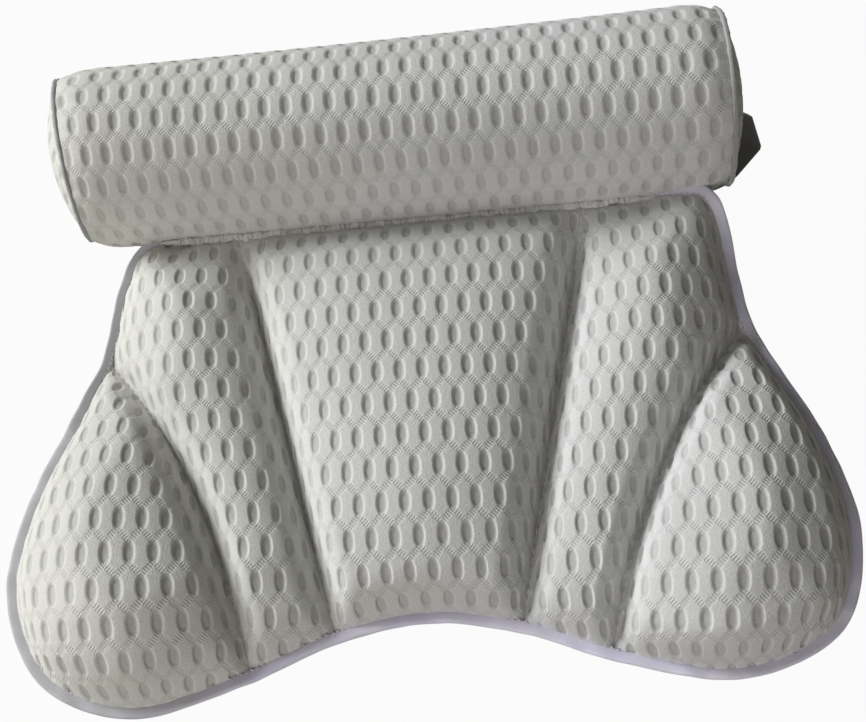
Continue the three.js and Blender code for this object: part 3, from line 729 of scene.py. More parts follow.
def roll_cover(material):
    """The roll's tube of dimpled mesh, drawn in where the piping is sewn on."""
    end = PIPING_X - COVER_GAP
    columns = int(round(2 * end / (DIMPLE_PITCH / COVER_STEPS[0])))
    steps = ROLL_ROWS * COVER_STEPS[1]
    x = np.linspace(-end, end, columns + 1)[:, None]
    angle = np.linspace(0, 2 * np.pi, steps, endpoint=False)[None]
    near_end = np.clip((end - np.abs(x)) / ROLL_DRAW_LENGTH, 0, 1)
    radius = ROLL_RADIUS - ROLL_DRAW_IN * (1 - near_end) ** 2.4
    round_length = ROLL_ROWS * DIMPLE_ROW
    u, v = np.broadcast_arrays(x, angle / (2 * np.pi) * round_length)
    relief = dimples(u, v) * smoothstep(0.5, 4, end - np.abs(u))
    gather = np.exp(-(end - np.abs(u)) / 5)
    arc = v * 2 * np.pi * ROLL_RADIUS / round_length
    wrap = np.minimum(arc, 2 * np.pi * ROLL_RADIUS - arc)
    relief = relief + 0.4 * gather * ripple(wrap + 0.2 * u, 31, 7, 22)
    rings = on_roll(x, radius + relief, angle)
    faces, ends = capped_tube(columns + 1, steps)
    piece = new_object("roll_mesh_cover", rings.reshape(-1, 3), faces, [material])
    vertex = corner_vertices(piece.data)
    flat_v = v.ravel()[vertex]
    corners = flat_v[:4 * columns * steps].reshape(-1, 4)
    wraps = np.ptp(corners, axis=1) > round_length / 2
    corners[wraps[:, None] & (corners < round_length / 2)] += round_length
    lay_cloth(piece.data, np.stack([u.ravel()[vertex], flat_v], 1))
    crease(piece.data, ends)
    return piece


def roll_end(name, side, material):
    """A domed disc of dimpled mesh that closes the roll inside its piping."""
    rim = ROLL_RADIUS - ROLL_DRAW_IN - DISC_GAP
    start = PIPING_X - DISC_GAP
    bulge = END_REACH - start - 0.8 + END_BULGE[side]
    span = np.linspace(-1, 1, 2 * DISC_HALF_STEPS + 1)
    a, b = np.meshgrid(span, span)
    disc_a = a * np.sqrt(1 - b * b / 2)
    disc_b = b * np.sqrt(1 - a * a / 2)
    share = np.hypot(disc_a, disc_b)
    u, v = disc_a * rim, disc_b * rim
    cloth = np.dstack([u, v]) + DISC_CLOTH_SHIFT
    rise = bulge * (1 - share ** 2.4)
    rise = rise + dimples(cloth[..., 0], cloth[..., 1]) * smoothstep(0, 0.12, 1 - share)
    rise = rise + 0.5 * np.exp(-(1 - share) * 8) * ripple(np.arctan2(v, u) * rim, 51 + side, 8, 24)
    grid = on_roll(side * (start + rise), np.hypot(u, v), np.arctan2(v, u))
    size = len(span)
    index = np.arange(size * size).reshape(size, size)
    ring = np.concatenate([index[0, :-1], index[:-1, -1], index[-1, :0:-1], index[:0:-1, 0]])
    faces = grid_faces(size, size).tolist() + [ring.tolist()]
    if side > 0:
        faces = [face[::-1] for face in faces]
    return cloth_piece(name, grid.reshape(-1, 3), faces, material, cloth.reshape(-1, 2), ring)


def roll_piping(name, side, material):
    """Corded piping: a thin cloth-covered ring, slightly uneven where it was gathered."""
    around, section = 220, 14
    turn = np.linspace(0, 2 * np.pi, around, endpoint=False)[:, None]
    angle = np.linspace(0, 2 * np.pi, section, endpoint=False)[None]
    ring_radius = ROLL_RADIUS - ROLL_DRAW_IN - PIPING_SINK[side]
    arc = turn * ring_radius
    wrap = np.minimum(arc, 2 * np.pi * ring_radius - arc)
    thick = PIPING_RADIUS * (1 + 0.1 * ripple(wrap, 71 + side, 3, 11))
    reach = ring_radius + thick * np.cos(angle) + 0.4 * ripple(wrap, 75 + side, 14, 60)
    points = on_roll(side * (PIPING_X + thick * np.sin(angle)), reach, turn)
    faces = tube_faces(around, section, closed=True)
    if side > 0:
        faces = faces[:, ::-1]
    flat = np.stack(np.broadcast_arrays(arc, angle * PIPING_RADIUS), 2).reshape(-1, 2)
    return cloth_piece(name, points.reshape(-1, 3), faces, material, flat)


TAPE_SECTION = [(0, 0), (0.03, 0.5), (0.12, 0.86), (0.3, 1), (0.55, 1), (0.8, 0.95), (0.95, 0.82), (1, 0.6)]


def tape_top(first, last, share):
    """The tape's front face between two places on the pad's edge, at a share of its width from the fold."""
    kept = slice(first, last + 1)
    width = tape_width[kept]
    flat = edge_line[kept] + edge_inwards[kept] * (share * width)[:, None]
    neck = smoothstep(-30, 0, flat[:, 1])
    left_lift = LEFT_WING_LIFT + (LEFT_NECK_LIFT - LEFT_WING_LIFT) * neck
    lift = TAPE_LIFT + (left_lift - TAPE_LIFT) * on_left(flat[:, 0])
    lift = lift * (1 - share) * width / TAPE_WIDTH
    wave = TAPE_WAVE * ripple(edge_length[kept], 90, 13, 37) * (1 - share)
    height = np.interp(share, *np.array(TAPE_SECTION).T) * TAPE_HALF_THICKNESS
    return np.column_stack([flat, EDGE_Z + edge_rise(flat) + lift + wave + height])


def binding_tape(name, first, last, material):
    """A length of tape folded round the pad's edge."""
    share, height = np.array(TAPE_SECTION).T
    upper = [tape_top(first, last, s) for s in share]
    drops = 2 * height[:0:-1] * TAPE_HALF_THICKNESS
    lower = [top - (0, 0, drop) for top, drop in zip(upper[:0:-1], drops)]
    rings = np.stack(upper + lower, 1)
    faces, ends = capped_tube(*rings.shape[:2], flipped=True)
    round_tape = np.concatenate([share, 2 - share[:0:-1]]) * TAPE_WIDTH
    length = edge_length[first:last + 1, None]
    flat = np.stack(np.broadcast_arrays(length, round_tape), 2).reshape(-1, 2)
    return cloth_piece(name, rings.reshape(-1, 3), faces, material, flat, ends)


# Stitches: sides of a strand, then the length and radius of each kind
STITCH_SIDES = 6
BINDING_STITCH = (2.2, 0.34)
SEAM_STITCH = (3.4, 0.5)
OVERCAST_STITCH = (3.4, 0.38)
ZIGZAG_PLACE = 0.9
ZIGZAG_SLANT = 0.8
STITCH_PROFILE = np.array([
    (-0.5, 0.25), (-0.44, 0.75), (-0.25, 1), (0, 1.05), (0.25, 1), (0.44, 0.75), (0.5, 0.25),
])


def stitches(name, centres, directions, ups, length, radius, material):
    """A row of stitches, each a short rounded strand that dips at both ends."""
    place, thickness = STITCH_PROFILE.T
    bow = 0.7 * radius * (1 - (2 * place) ** 2)
    directions = directions / np.linalg.norm(directions, axis=1, keepdims=True)
    sides = np.cross(ups, directions)
    sides /= np.linalg.norm(sides, axis=1, keepdims=True)
    ups = np.cross(directions, sides)
    angle = np.linspace(0, 2 * np.pi, STITCH_SIDES, endpoint=False)
    middle = centres[:, None] + directions[:, None] * (place * length)[None, :, None]
    middle = middle + ups[:, None] * bow[None, :, None]
    spoke = sides[:, None] * np.cos(angle)[None, :, None] + ups[:, None] * np.sin(angle)[None, :, None]
    rings = middle[:, :, None] + spoke[:, None] * (thickness * radius)[None, :, None, None]
    one, _ = capped_tube(len(place), STITCH_SIDES, flipped=True)
    firsts = np.arange(len(centres)) * len(place) * STITCH_SIDES
    faces = [[first + i for i in face] for first in firsts.tolist() for face in one]
    along = np.broadcast_to((place * length)[:, None], rings.shape[:3])
    flat = np.stack([along, np.broadcast_to(angle * radius, rings.shape[:3])], 3).reshape(-1, 2)
    return cloth_piece(name, rings.reshape(-1, 3), faces, material, flat)


def binding_stitches(name, first, last, material, pitch=2.6):
    """Zigzag stitching along the tape's inner edge on the front."""
    row = tape_top(first, last, ZIGZAG_PLACE)
    run = lengths_along(row)
    count = int(run[-1] / pitch)
    wanted = (np.arange(count) + 0.5) * pitch
    centre = sampled(row, run, wanted)
    inward = np.column_stack([sampled(edge_inwards[first:last + 1], run, wanted), np.zeros(count)])
    slant = np.where(np.arange(count) % 2, ZIGZAG_SLANT, -ZIGZAG_SLANT)[:, None]
    heading = sampled(row, run, wanted + 0.5) - centre
    heading = heading / np.linalg.norm(heading, axis=1, keepdims=True) + slant * inward
    up = np.tile([0.0, 0.0, 1.0], (count, 1))
    return stitches(name, centre, heading, up, *BINDING_STITCH, material)


def seam_stitches(name, line, material, pitch=4.2):
    """Quilting thread: a row of stitches in the groove of a seam."""
    place = evenly(line, int(lengths_along(line)[-1] / pitch))[1:-1]
    centre = np.column_stack([place, EDGE_Z + edge_rise(place) + seam_lift(place)])
    up = np.tile([0.0, 0.0, 1.0], (len(place), 1))
    return stitches(name, centre, np.gradient(centre, axis=0), up, *SEAM_STITCH, material)


def join_line(x):
    """Where the welt lies against the roll: its distance forwards and its height."""
    sag = ROLL_SAG * (1 - np.minimum(np.abs(x - ROLL_X - ROLL_SHIFT) / PIPING_X, 1) ** 2)
    z = JOIN_Z + WELT_RISE + 0.5 * ripple(x, 104, 7, 26)
    y = ROLL_Y - sag - np.sqrt(ROLL_RADIUS ** 2 - (ROLL_Z - sag - z) ** 2)
    return y - WELT_OUT + 0.3 * ripple(x, 103, 8, 30), z


def join_welt(material):
    """The gathered seam allowance between roll and pad, turned over and overcast."""
    rings, steps = 420, 14
    x = np.linspace(-WELT_REACH, WELT_REACH, rings)[:, None]
    angle = np.linspace(0, 2 * np.pi, steps, endpoint=False)[None]
    fade = smoothstep(0, 14, WELT_REACH - np.abs(x))
    rough = 0.16 * ripple(x, 101, 2.4, 9, 7) + 0.12 * ripple(x + 3 * angle, 102, 4, 17)
    radius = JOIN_RADIUS * (0.35 + 0.65 * fade) * (1 + rough)
    y, z = join_line(x)
    y, z = y + radius * np.cos(angle), z + radius * np.sin(angle)
    points = np.stack(np.broadcast_arrays(x, y, z), 2).reshape(-1, 3)
    flat = np.stack(np.broadcast_arrays(x, angle * JOIN_RADIUS), 2).reshape(-1, 2)
    return cloth_piece("join_welt", points, capped_tube(rings, steps)[0], material, flat)


GUSSET_LINE = [
    (-5, 3.4), (-3, 3.6), (-1, 3.8), (0.2, 3.7), (1, 2.9), (1.8, 2), (2.6, 1.2), (4, 0.8), (5.5, 0.8),
]
GUSSET_THICKNESS = 0.8


def join_gusset(material):
    """A strip of cloth behind the welt, from inside the pad to inside the roll, round the hinge."""
    upper = smooth_curve(GUSSET_LINE, 3) + HINGE[1:]
    section = np.concatenate([upper - (0, GUSSET_THICKNESS), upper[::-1]])
    x = np.linspace(-JOIN_REACH, JOIN_REACH, 120)
    points = np.concatenate([np.column_stack([np.full(len(section), place), section]) for place in x])
    faces, _ = capped_tube(len(x), len(section))
    return cloth_piece("join_gusset", points, faces, material, points[:, :2])


def join_stitches(material, pitch=2.3):
    """Overcast stitches slanting over the welt."""
    count = int(2 * JOIN_REACH / pitch)
    x = -JOIN_REACH + (np.arange(count) + 0.5) * pitch
    draw = np.random.default_rng(120)
    x = x + draw.uniform(-0.5, 0.5, count)
    y, z = join_line(x)
    centre = np.stack([x, y - 0.5 * JOIN_RADIUS, z + 0.8 * JOIN_RADIUS], 1)
    heading = np.stack([draw.uniform(-0.4, 1.1, count), np.ones(count), draw.uniform(0.1, 0.6, count)], 1)
    up = np.tile([0.0, -0.4, 1.0], (count, 1))
    return stitches("join_overcast", centre, heading, up, *OVERCAST_STITCH, material)


AXIS_RADIUS = 0.05


def lathe(name, profile, centre, steps, material, reach=None):
    """A profile of (radius, height) turned round an upright axis. It starts or ends on the axis or closes."""
    profile = np.array(profile, float)
    angle = np.linspace(0, 2 * np.pi, steps, endpoint=False)
    rings = np.zeros((len(profile), steps, 3))
    radius = profile[:, :1] if reach is None else reach(profile[:, :1], angle)
    rings[..., 0] = centre[0] + radius * np.cos(angle)
    rings[..., 1] = centre[1] + radius * np.sin(angle)
    rings[..., 2] = profile[:, 1:]
    if profile[0, 0] > AXIS_RADIUS:
        faces = tube_faces(len(profile), steps, closed=True)
    else:
        faces, _ = capped_tube(len(profile), steps)
    return new_object(name, rings.reshape(-1, 3), faces, [material])


# Finishes

def feed(tree, socket, value):
    if isinstance(value, bpy.types.NodeSocket):
        tree.links.new(value, socket)
    else:
        socket.default_value = value


def calc(tree, operation, *values):
    node = tree.nodes.new("ShaderNodeMath")
    node.operation = operation
    for socket, value in zip(node.inputs, values):
        feed(tree, socket, value)
    return node.outputs[0]


def ramp(tree, value, low, high, first=0.0, last=1.0):
    node = tree.nodes.new("ShaderNodeMapRange")
    node.interpolation_type = "SMOOTHSTEP"
    for label, number in (("Value", value), ("From Min", low), ("From Max", high),
                          ("To Min", first), ("To Max", last)):
        feed(tree, node.inputs[label], number)
    return node.outputs[0]


def tint(tree, share, first, second):
    node = tree.nodes.new("ShaderNodeMix")
    node.data_type = "RGBA"
    feed(tree, node.inputs[0], share)
    feed(tree, node.inputs[6], first)
    feed(tree, node.inputs[7], second)
    return node.outputs[2]


def towards(tree, mask, share, colour, other):
    """A colour drawn towards another one by a share of a mask."""
    return tint(tree, calc(tree, "MULTIPLY", mask, share), colour, other)


def new_group(name, inputs, outputs):
    group = bpy.data.node_groups.new(name, "ShaderNodeTree")
    for label, kind, value in inputs:
        socket = group.interface.new_socket(label, in_out="INPUT", socket_type=kind)
        if value is not None:
            socket.default_value = value
    for label in outputs:
        group.interface.new_socket(label, in_out="OUTPUT", socket_type="NodeSocketFloat")
    source = group.nodes.new("NodeGroupInput")
    sink = group.nodes.new("NodeGroupOutput")
    return group, source.outputs, sink.inputs


def placed(tree, group, **values):
    node = tree.nodes.new("ShaderNodeGroup")
    node.node_tree = group
    for label, value in values.items():
        feed(tree, node.inputs[label.replace("_", " ")], value)
    return node.outputs


def cloth_place(tree):
    node = tree.nodes.new("ShaderNodeUVMap")
    node.uv_map = "cloth"
    return node.outputs[0]


def object_place(tree):
    return tree.nodes.new("ShaderNodeTexCoord").outputs["Object"]


def split_place(tree, place):
    node = tree.nodes.new("ShaderNodeSeparateXYZ")
    tree.links.new(place, node.inputs[0])
    return node.outputs


def make_dimple_net():
    """Masks of a knitted net: the hollows, the bands between them and the strands across the bands."""
    values = {"Pitch": DIMPLE_PITCH, "Row": DIMPLE_ROW, "Half Width": DIMPLE_HALF_WIDTH,
              "Half Height": DIMPLE_HALF_HEIGHT, "Squareness": DIMPLE_SQUARENESS, "Band": NET_HALF_WIDTH,
              "Strand": STRAND_PITCH}
    sockets = [(label, "NodeSocketFloat", value) for label, value in values.items()]
    tree, given, result = new_group("dimple net", [("Cloth", "NodeSocketVector", None)] + sockets,
                                    ["Hollow", "Band", "Strand"])

    def do(operation, *numbers):
        return calc(tree, operation, *numbers)

    def from_middle(x, y):
        wide = do("POWER", do("DIVIDE", x, given["Half Width"]), given["Squareness"])
        tall = do("POWER", do("DIVIDE", y, given["Half Height"]), given["Squareness"])
        return do("POWER", do("ADD", wide, tall), do("DIVIDE", 1.0, given["Squareness"]))

    u, v = split_place(tree, given["Cloth"])[:2]
    half = do("DIVIDE", given["Pitch"], 2.0)
    row = do("FLOOR", do("DIVIDE", v, given["Row"]))
    below = do("SUBTRACT", v, do("MULTIPLY", row, given["Row"]))
    odd = do("FLOORED_MODULO", row, 2.0)
    beside = do("PINGPONG", do("MULTIPLY_ADD", odd, half, u), half)
    near = from_middle(beside, below)
    far = from_middle(do("SUBTRACT", half, beside), do("SUBTRACT", given["Row"], below))
    hollow = ramp(tree, do("MINIMUM", near, far), 0.8, 1.02, 1.0, 0.0)
    drop = do("MULTIPLY_ADD", given["Half Height"], -2.0, given["Row"])
    reach = do("SQRT", do("ADD", do("POWER", half, 2.0), do("POWER", drop, 2.0)))
    along_x = do("DIVIDE", half, reach)
    along_y = do("DIVIDE", drop, reach)
    lower = do("SUBTRACT", below, given["Half Height"])
    off = do("ABSOLUTE", do("SUBTRACT", do("MULTIPLY", beside, along_y), do("MULTIPLY", lower, along_x)))
    off = do("DIVIDE", off, given["Band"])
    band = do("MULTIPLY", ramp(tree, off, 0.75, 1.25, 1.0, 0.0), do("SUBTRACT", 1.0, hollow))
    travel = do("ADD", do("MULTIPLY", beside, along_x), do("MULTIPLY", lower, along_y))
    turn = do("DIVIDE", do("MULTIPLY", travel, 2 * math.pi), given["Strand"])
    strand = do("MULTIPLY_ADD", do("SINE", turn), 0.5, 0.5)
    for label, value in (("Hollow", hollow), ("Band", band), ("Strand", strand)):
        tree.links.new(value, result[label])
    return tree


def make_tone_drift():
    """A slow uneven change of tone over the object, from 0 to 1."""
    tree, given, result = new_group(
        "tone drift", [("Size", "NodeSocketFloat", 40.0), ("Detail", "NodeSocketFloat", 3.0)], ["Drift"],
    )
    noise = tree.nodes.new("ShaderNodeTexNoise")
    tree.links.new(object_place(tree), noise.inputs["Vector"])
    tree.links.new(calc(tree, "DIVIDE", 1 / MM, given["Size"]), noise.inputs["Scale"])
    tree.links.new(given["Detail"], noise.inputs["Detail"])
    tree.links.new(ramp(tree, noise.outputs[0], 0.3, 0.7), result["Drift"])
    return tree


def make_left_to_right():
    """A share that grows from 0 to 1 across the object, between two places in millimetres."""
    tree, given, result = new_group(
        "left to right",
        [("First", "NodeSocketFloat", -150.0), ("Last", "NodeSocketFloat", -60.0)],
        ["Share"],
    )
    x = calc(tree, "DIVIDE", split_place(tree, object_place(tree))[0], MM)
    tree.links.new(ramp(tree, x, given["First"], given["Last"]), result["Share"])
    return tree


def make_twill_weave():
    """A twill weave's height in cloth coordinates, from 0 to 1."""
    tree, given, result = new_group(
        "twill weave",
        [("Cloth", "NodeSocketVector", None), ("Pitch", "NodeSocketFloat", 0.7),
         ("Slope", "NodeSocketFloat", 0.6)],
        ["Height"],
    )
    along, beside = split_place(tree, given["Cloth"])[:2]
    turn = calc(tree, "DIVIDE", 2 * math.pi, given["Pitch"])
    warp = calc(tree, "SINE", calc(tree, "MULTIPLY", beside, turn))
    diagonal = calc(tree, "MULTIPLY_ADD", beside, given["Slope"], along)
    weft = calc(tree, "SINE", calc(tree, "MULTIPLY", diagonal, turn))
    height = calc(tree, "MULTIPLY_ADD", calc(tree, "MULTIPLY", warp, weft), 0.5, 0.5)
    tree.links.new(height, result["Height"])
    return tree


dimple_net = make_dimple_net()
tone_drift = make_tone_drift()
left_to_right = make_left_to_right()
twill_weave = make_twill_weave()


def new_finish(name, sheen=0.0):
    material = bpy.data.materials.new(name)
    material.use_nodes = True
    material.node_tree.nodes["Principled BSDF"].inputs["Sheen Weight"].default_value = sheen
    return material, material.node_tree


def finished(material, colour, drift, roughness, height, depth_mm):
    """Completes a finish with its colour, its roughness as (least, varying) and its relief."""
    tree = material.node_tree
    shader = tree.nodes["Principled BSDF"]
    least, varying = roughness
    feed(tree, shader.inputs["Base Color"], colour)
    feed(tree, shader.inputs["Roughness"], calc(tree, "MULTIPLY_ADD", drift, varying, least))
    relief = tree.nodes.new("ShaderNodeBump")
    relief.inputs["Distance"].default_value = depth_mm * MM
    feed(tree, relief.inputs["Height"], height)
    tree.links.new(relief.outputs[0], shader.inputs["Normal"])
    return material


def drifting(tree, size, detail=3.0):
    return placed(tree, tone_drift, Size=size, Detail=detail)["Drift"]


def air_mesh_finish():
    material, tree = new_finish("air_mesh", 0.08)
    net = placed(tree, dimple_net, Cloth=cloth_place(tree))
    drift, fuzz = drifting(tree, 60.0), drifting(tree, 0.9, 2.0)
    gap = calc(tree, "MULTIPLY", net["Band"], net["Strand"])
    # Painted light: the cloth is drawn warmer on the left and cooler on the right, standing in for the warm
    # light that falls on the left side.
    to_right = placed(tree, left_to_right, First=-160.0, Last=60.0)["Share"]
    colour = tint(tree, to_right, (0.755, 0.75, 0.71, 1), (0.75, 0.75, 0.755, 1))
    colour = towards(tree, drift, 0.07, colour, (0.1, 0.1, 0.1, 1))
    colour = towards(tree, fuzz, 0.09, colour, (0.1, 0.1, 0.1, 1))
    # The hollows are drawn darker partly for the thinner open knit and partly as painted shade in the recess.
    colour = towards(tree, net["Hollow"], 0.46, colour, (0.40, 0.40, 0.39, 1))
    colour = towards(tree, gap, 0.17, colour, (0.34, 0.34, 0.33, 1))
    height = calc(tree, "MULTIPLY_ADD", gap, -1.0, calc(tree, "MULTIPLY", fuzz, 0.4))
    return finished(material, colour, drift, (0.86, 0.08), height, 0.17)


def back_mesh_finish():
    material, tree = new_finish("back_mesh", 0.08)
    net = placed(tree, dimple_net, Cloth=cloth_place(tree), Pitch=2.6, Row=2.3, Half_Width=0.62,
                 Half_Height=0.75, Band=0.4, Strand=0.5)
    drift = drifting(tree, 60.0)
    colour = tint(tree, drift, (0.62, 0.62, 0.585, 1), (0.69, 0.69, 0.66, 1))
    colour = towards(tree, net["Hollow"], 0.85, colour, (0.22, 0.22, 0.21, 1))
    return finished(material, colour, drift, (0.86, 0.08), calc(tree, "SUBTRACT", 1.0, net["Hollow"]), 0.4)


def woven_finish(name, sheen, weave, drift_size, deep, pale, gap, roughness, depth_mm, left_painted_shade=0.0):
    """Tape or thread. Its tint gives way to a painted shade of grey on the left by the share given."""
    material, tree = new_finish(name, sheen)
    pitch, slope = weave
    height = placed(tree, twill_weave, Cloth=cloth_place(tree), Pitch=pitch, Slope=slope)["Height"]
    drift = drifting(tree, drift_size)
    colour = tint(tree, drift, deep, pale)
    if left_painted_shade:
        # Painted shade: the tape is drawn grey on the left, where it lies in shade.
        to_right = placed(tree, left_to_right, First=-150.0, Last=-60.0)["Share"]
        painted_shade_left = calc(tree, "SUBTRACT", 1.0, to_right)
        colour = towards(tree, painted_shade_left, left_painted_shade, colour, (0.50, 0.50, 0.51, 1))
    colour = towards(tree, height, 0.2, colour, gap)
    return finished(material, colour, drift, roughness, height, depth_mm)


def moulded_finish(name, drift_size, deep, pale, roughness, grain, depth_mm):
    material, tree = new_finish(name)
    drift = drifting(tree, drift_size)
    colour = tint(tree, drift, deep, pale)
    return finished(material, colour, drift, roughness, drifting(tree, grain), depth_mm)


air_mesh = air_mesh_finish()
back_mesh = back_mesh_finish()
# The binding tape carries a painted shade of grey on its left side.
binding = woven_finish("binding_tape", 0.15, (0.7, 0.6), 24.0, (0.83, 0.80, 1.0, 1), (0.90, 0.87, 1.0, 1),
                       (0.64, 0.62, 0.82, 1), (0.5, 0.15), 0.12, left_painted_shade=0.95)
# Painted shade: the piping is drawn a darker grey than the cover cloth it is made of, standing in for the
# shade of the groove it sits in.
piping = woven_finish("piping_painted_shade", 0.15, (0.7, 0.6), 24.0, (0.38, 0.38, 0.37, 1), (0.45, 0.45, 0.44, 1),
                      (0.26, 0.26, 0.25, 1), (0.5, 0.15), 0.12)
thread = woven_finish("thread", 0.2, (0.6, 1.4), 5.0, (0.72, 0.71, 0.70, 1), (0.82, 0.81, 0.80, 1),
                      (0.5, 0.5, 0.5, 1), (0.6, 0.2), 0.08)
# Painted shade: the cups are drawn near black, standing in for the shade and dark ground seen through their
# clear plastic.
cup_painted_shade = moulded_finish("cup_painted_shade", 14.0, (0.018, 0.016, 0.012, 1), (0.032, 0.029, 0.023, 1),
                           (0.38, 0.15), 2.0, 0.03)
cup_painted_shade.node_tree.nodes["Principled BSDF"].inputs["Specular IOR Level"].default_value = 0.25
eyelet_plastic = moulded_finish("eyelet", 8.0, (0.46, 0.46, 0.45, 1), (0.54, 0.54, 0.53, 1),
                                (0.4, 0.12), 1.2, 0.02)


# Pad cushions

SIDES = (("left", -1), ("right", 1))


def bend_at_fold(piece):
    """Bakes a piece's placement into its mesh."""
    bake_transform(piece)


def stand_for(piece, nodes=(), body=None):
    """Says which nodes a piece replaces, hiding them, and which body it rides on."""
    if nodes:
        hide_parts(*nodes)
    if body:
        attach(piece, body)


def make_cushion(channel, suffix, plan, left_side, seed, body=None):
    piece = cushion(f"{channel}_cushion{suffix}", *plan, left_side, seed, [air_mesh, back_mesh])
    nodes = [f"{channel}_{layer}{suffix}" for layer in ("front", "back", "fill")]
    stand_for(piece, nodes, body)
    return piece


make_cushion("centre", "", centre_plan(), False, 11, "pad")
for side_name, side in SIDES:
    make_cushion("inner", f"_{side_name}", inner_plan(side), side < 0, 13 + (side < 0), "pad")
    wing = make_cushion("wing", f"_{side_name}", wing_plan(side), side < 0, 17 + (side < 0))
    bend_at_fold(wing)

# Binding, its stitches and the quilting threads

HEEL_SPARE = 14
right_last = int(crossings(edge_line, OUTER_SEAM)[1]) + HEEL_SPARE
left_first = EDGE_STEPS - int(crossings(seen_from(-1, edge_line), OUTER_SEAM)[1]) - HEEL_SPARE
TAPE_REACH = {-1: (left_first, EDGE_STEPS), 1: (0, right_last)}

for side_name, side in SIDES:
    tape = binding_tape(f"binding_{side_name}", *TAPE_REACH[side], binding)
    stand_for(tape, [f"binding_shoulder_{side_name}", f"binding_wing_{side_name}"])
    bend_at_fold(tape)
    row = binding_stitches(f"binding_stitches_{side_name}", *TAPE_REACH[side], thread)
    stand_for(row)
    bend_at_fold(row)
    inner_row = seam_stitches(f"inner_seam_{side_name}", INNER_SEAM * (side, 1), thread)
    stand_for(inner_row, [f"seam_inner_{side_name}"], "pad")
    edge = seen_from(side, edge_path(0))
    ends = stretch(edge, *seam_ends(edge, side), [0, 1])
    outer_line = bowed(*ends, np.linspace(0, 1, 40), side) * (side, 1)
    outer_row = seam_stitches(f"outer_seam_{side_name}", outer_line, thread)
    stand_for(outer_row, [f"seam_outer_{side_name}"], "pad")

foot_tape = binding_tape("binding_foot", right_last, left_first, binding)
stand_for(foot_tape, ["binding_bottom"], "pad")
foot_row = binding_stitches("binding_stitches_foot", right_last, left_first, thread)
stand_for(foot_row, body="pad")

stand_for(join_welt(air_mesh), ["join_seam"], "pad")
gusset = join_gusset(back_mesh)
stand_for(gusset)
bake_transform(gusset)
stand_for(join_stitches(thread), body="pad")

# Roll

stand_for(roll_cover(air_mesh), ["roll_cover", "roll_fill"], "roll")
for side_name, side in SIDES:
    disc = roll_end(f"roll_disc_{side_name}", side, air_mesh)
    stand_for(disc, [f"roll_end_{side_name}"], "roll")
    ring = roll_piping(f"roll_welt_{side_name}", side, piping)
    stand_for(ring, [f"roll_piping_{side_name}"], "roll")

# Suction cups and eyelets

CUP_PROFILE = [
    (0.01, 5.5), (5, 5.3), (11, 4.4), (17, 2.6), (22.5, 0.8), (25.7, 0.0), (27.3, 0.0), (28, 0.5),
    (27.6, 1.1), (24.3, 3.0), (20, 4.9), (16, 6.4), (12.7, 7.9), (10, 9.4), (8.6, 10.0), (6.2, 10.1),
    (4.6, 10.4), (4.4, 12), (4.4, 16), (4.6, 18.0), (6.8, 18.3), (7.4, 18.9), (7.0, 19.9), (5.6, 21.0),
    (3, 21.2), (0.01, 21.2),
]
EYELET_PROFILE = [
    (5.0, 10.8), (5.4, 10.5), (8.4, 10.5), (9.0, 10.9), (8.9, 11.4), (8.2, 11.7), (6.4, 11.8), (6.2, 12.4),
    (6.2, 16.2), (6.4, 16.6), (8.6, 16.6), (9.0, 17.1), (8.6, 17.7), (5.4, 17.8), (5.0, 17.4), (4.95, 14),
]
EYELET_WAIST = 15
EYELET_TOP = 17.8
CUP_RADIUS = 28
TAB_CORNER = 1.2
TAB_HALF_ANGLE = math.radians(16.5)
TAB_HEADING = {"left": math.radians(173), "right": math.radians(7)}


def with_tab(heading):
    """A cup's rim: round, with a short flat-ended pull tab one way."""
    touch = TAB_HALF_ANGLE + math.acos(1 / TAB_CORNER)

    def reach(radius, angle):
        off = np.abs((angle - heading + np.pi) % (2 * np.pi) - np.pi)
        flat = TAB_CORNER * math.cos(TAB_HALF_ANGLE) / np.cos(np.minimum(off, TAB_HALF_ANGLE))
        taper = 1 / np.cos(np.clip(touch - off, 0, touch))
        rim = np.where(off < TAB_HALF_ANGLE, flat, taper)
        return radius * (1 + (rim - 1) * smoothstep(0.7 * CUP_RADIUS, 0.95 * CUP_RADIUS, radius))

    return reach


def lengthened(profile, eyelet_top):
    """The profile with its part above the eyelet's waist moved up to suit a longer eyelet."""
    longer = eyelet_top - EYELET_TOP
    return [(radius, height + longer * (height > EYELET_WAIST)) for radius, height in profile]


for place in ("roll", "pad", "wing"):
    for side_name, _ in SIDES:
        name = f"{place}_{side_name}"
        swivel = f"cup_swivel_{name}"
        centre = joint_point(swivel)
        eyelet_top = node_box(f"eyelet_{name}")[1][2]
        cup_line = smooth_curve(lengthened(CUP_PROFILE, eyelet_top), 6)
        cup = lathe(f"suction_cup_{name}", cup_line, centre, 96, cup_painted_shade, with_tab(TAB_HEADING[side_name]))
        stand_for(cup, [f"cup_{name}"], f"cup_{name}")
        eyelet_line = lengthened(EYELET_PROFILE, eyelet_top)
        eyelet = lathe(f"eyelet_ring_{name}", eyelet_line, centre, 48, eyelet_plastic)
        stand_for(eyelet, [f"eyelet_{name}"], JOINTS[swivel]["parent"])


# Floor, light and camera

def show_white(tree, lit, white, white_share, output):
    """Lets the camera, a mirror or glass see a share of even white in place of the lit surface."""
    path = tree.nodes.new("ShaderNodeLightPath")
    seen = calc(tree, "MAXIMUM", path.outputs["Is Camera Ray"], path.outputs["Is Glossy Ray"])
    seen = calc(tree, "MAXIMUM", seen, path.outputs["Is Transmission Ray"])
    mixed = tree.nodes.new("ShaderNodeMixShader")
    feed(tree, mixed.inputs[0], calc(tree, "MULTIPLY", seen, white_share))
    feed(tree, mixed.inputs[1], lit.outputs[0])
    feed(tree, mixed.inputs[2], white.outputs[0])
    feed(tree, tree.nodes[output].inputs["Surface"], mixed.outputs[0])


FLOOR_HALF = 3000
FLOOR_Z = -0.3
AMBIENT = 0.05


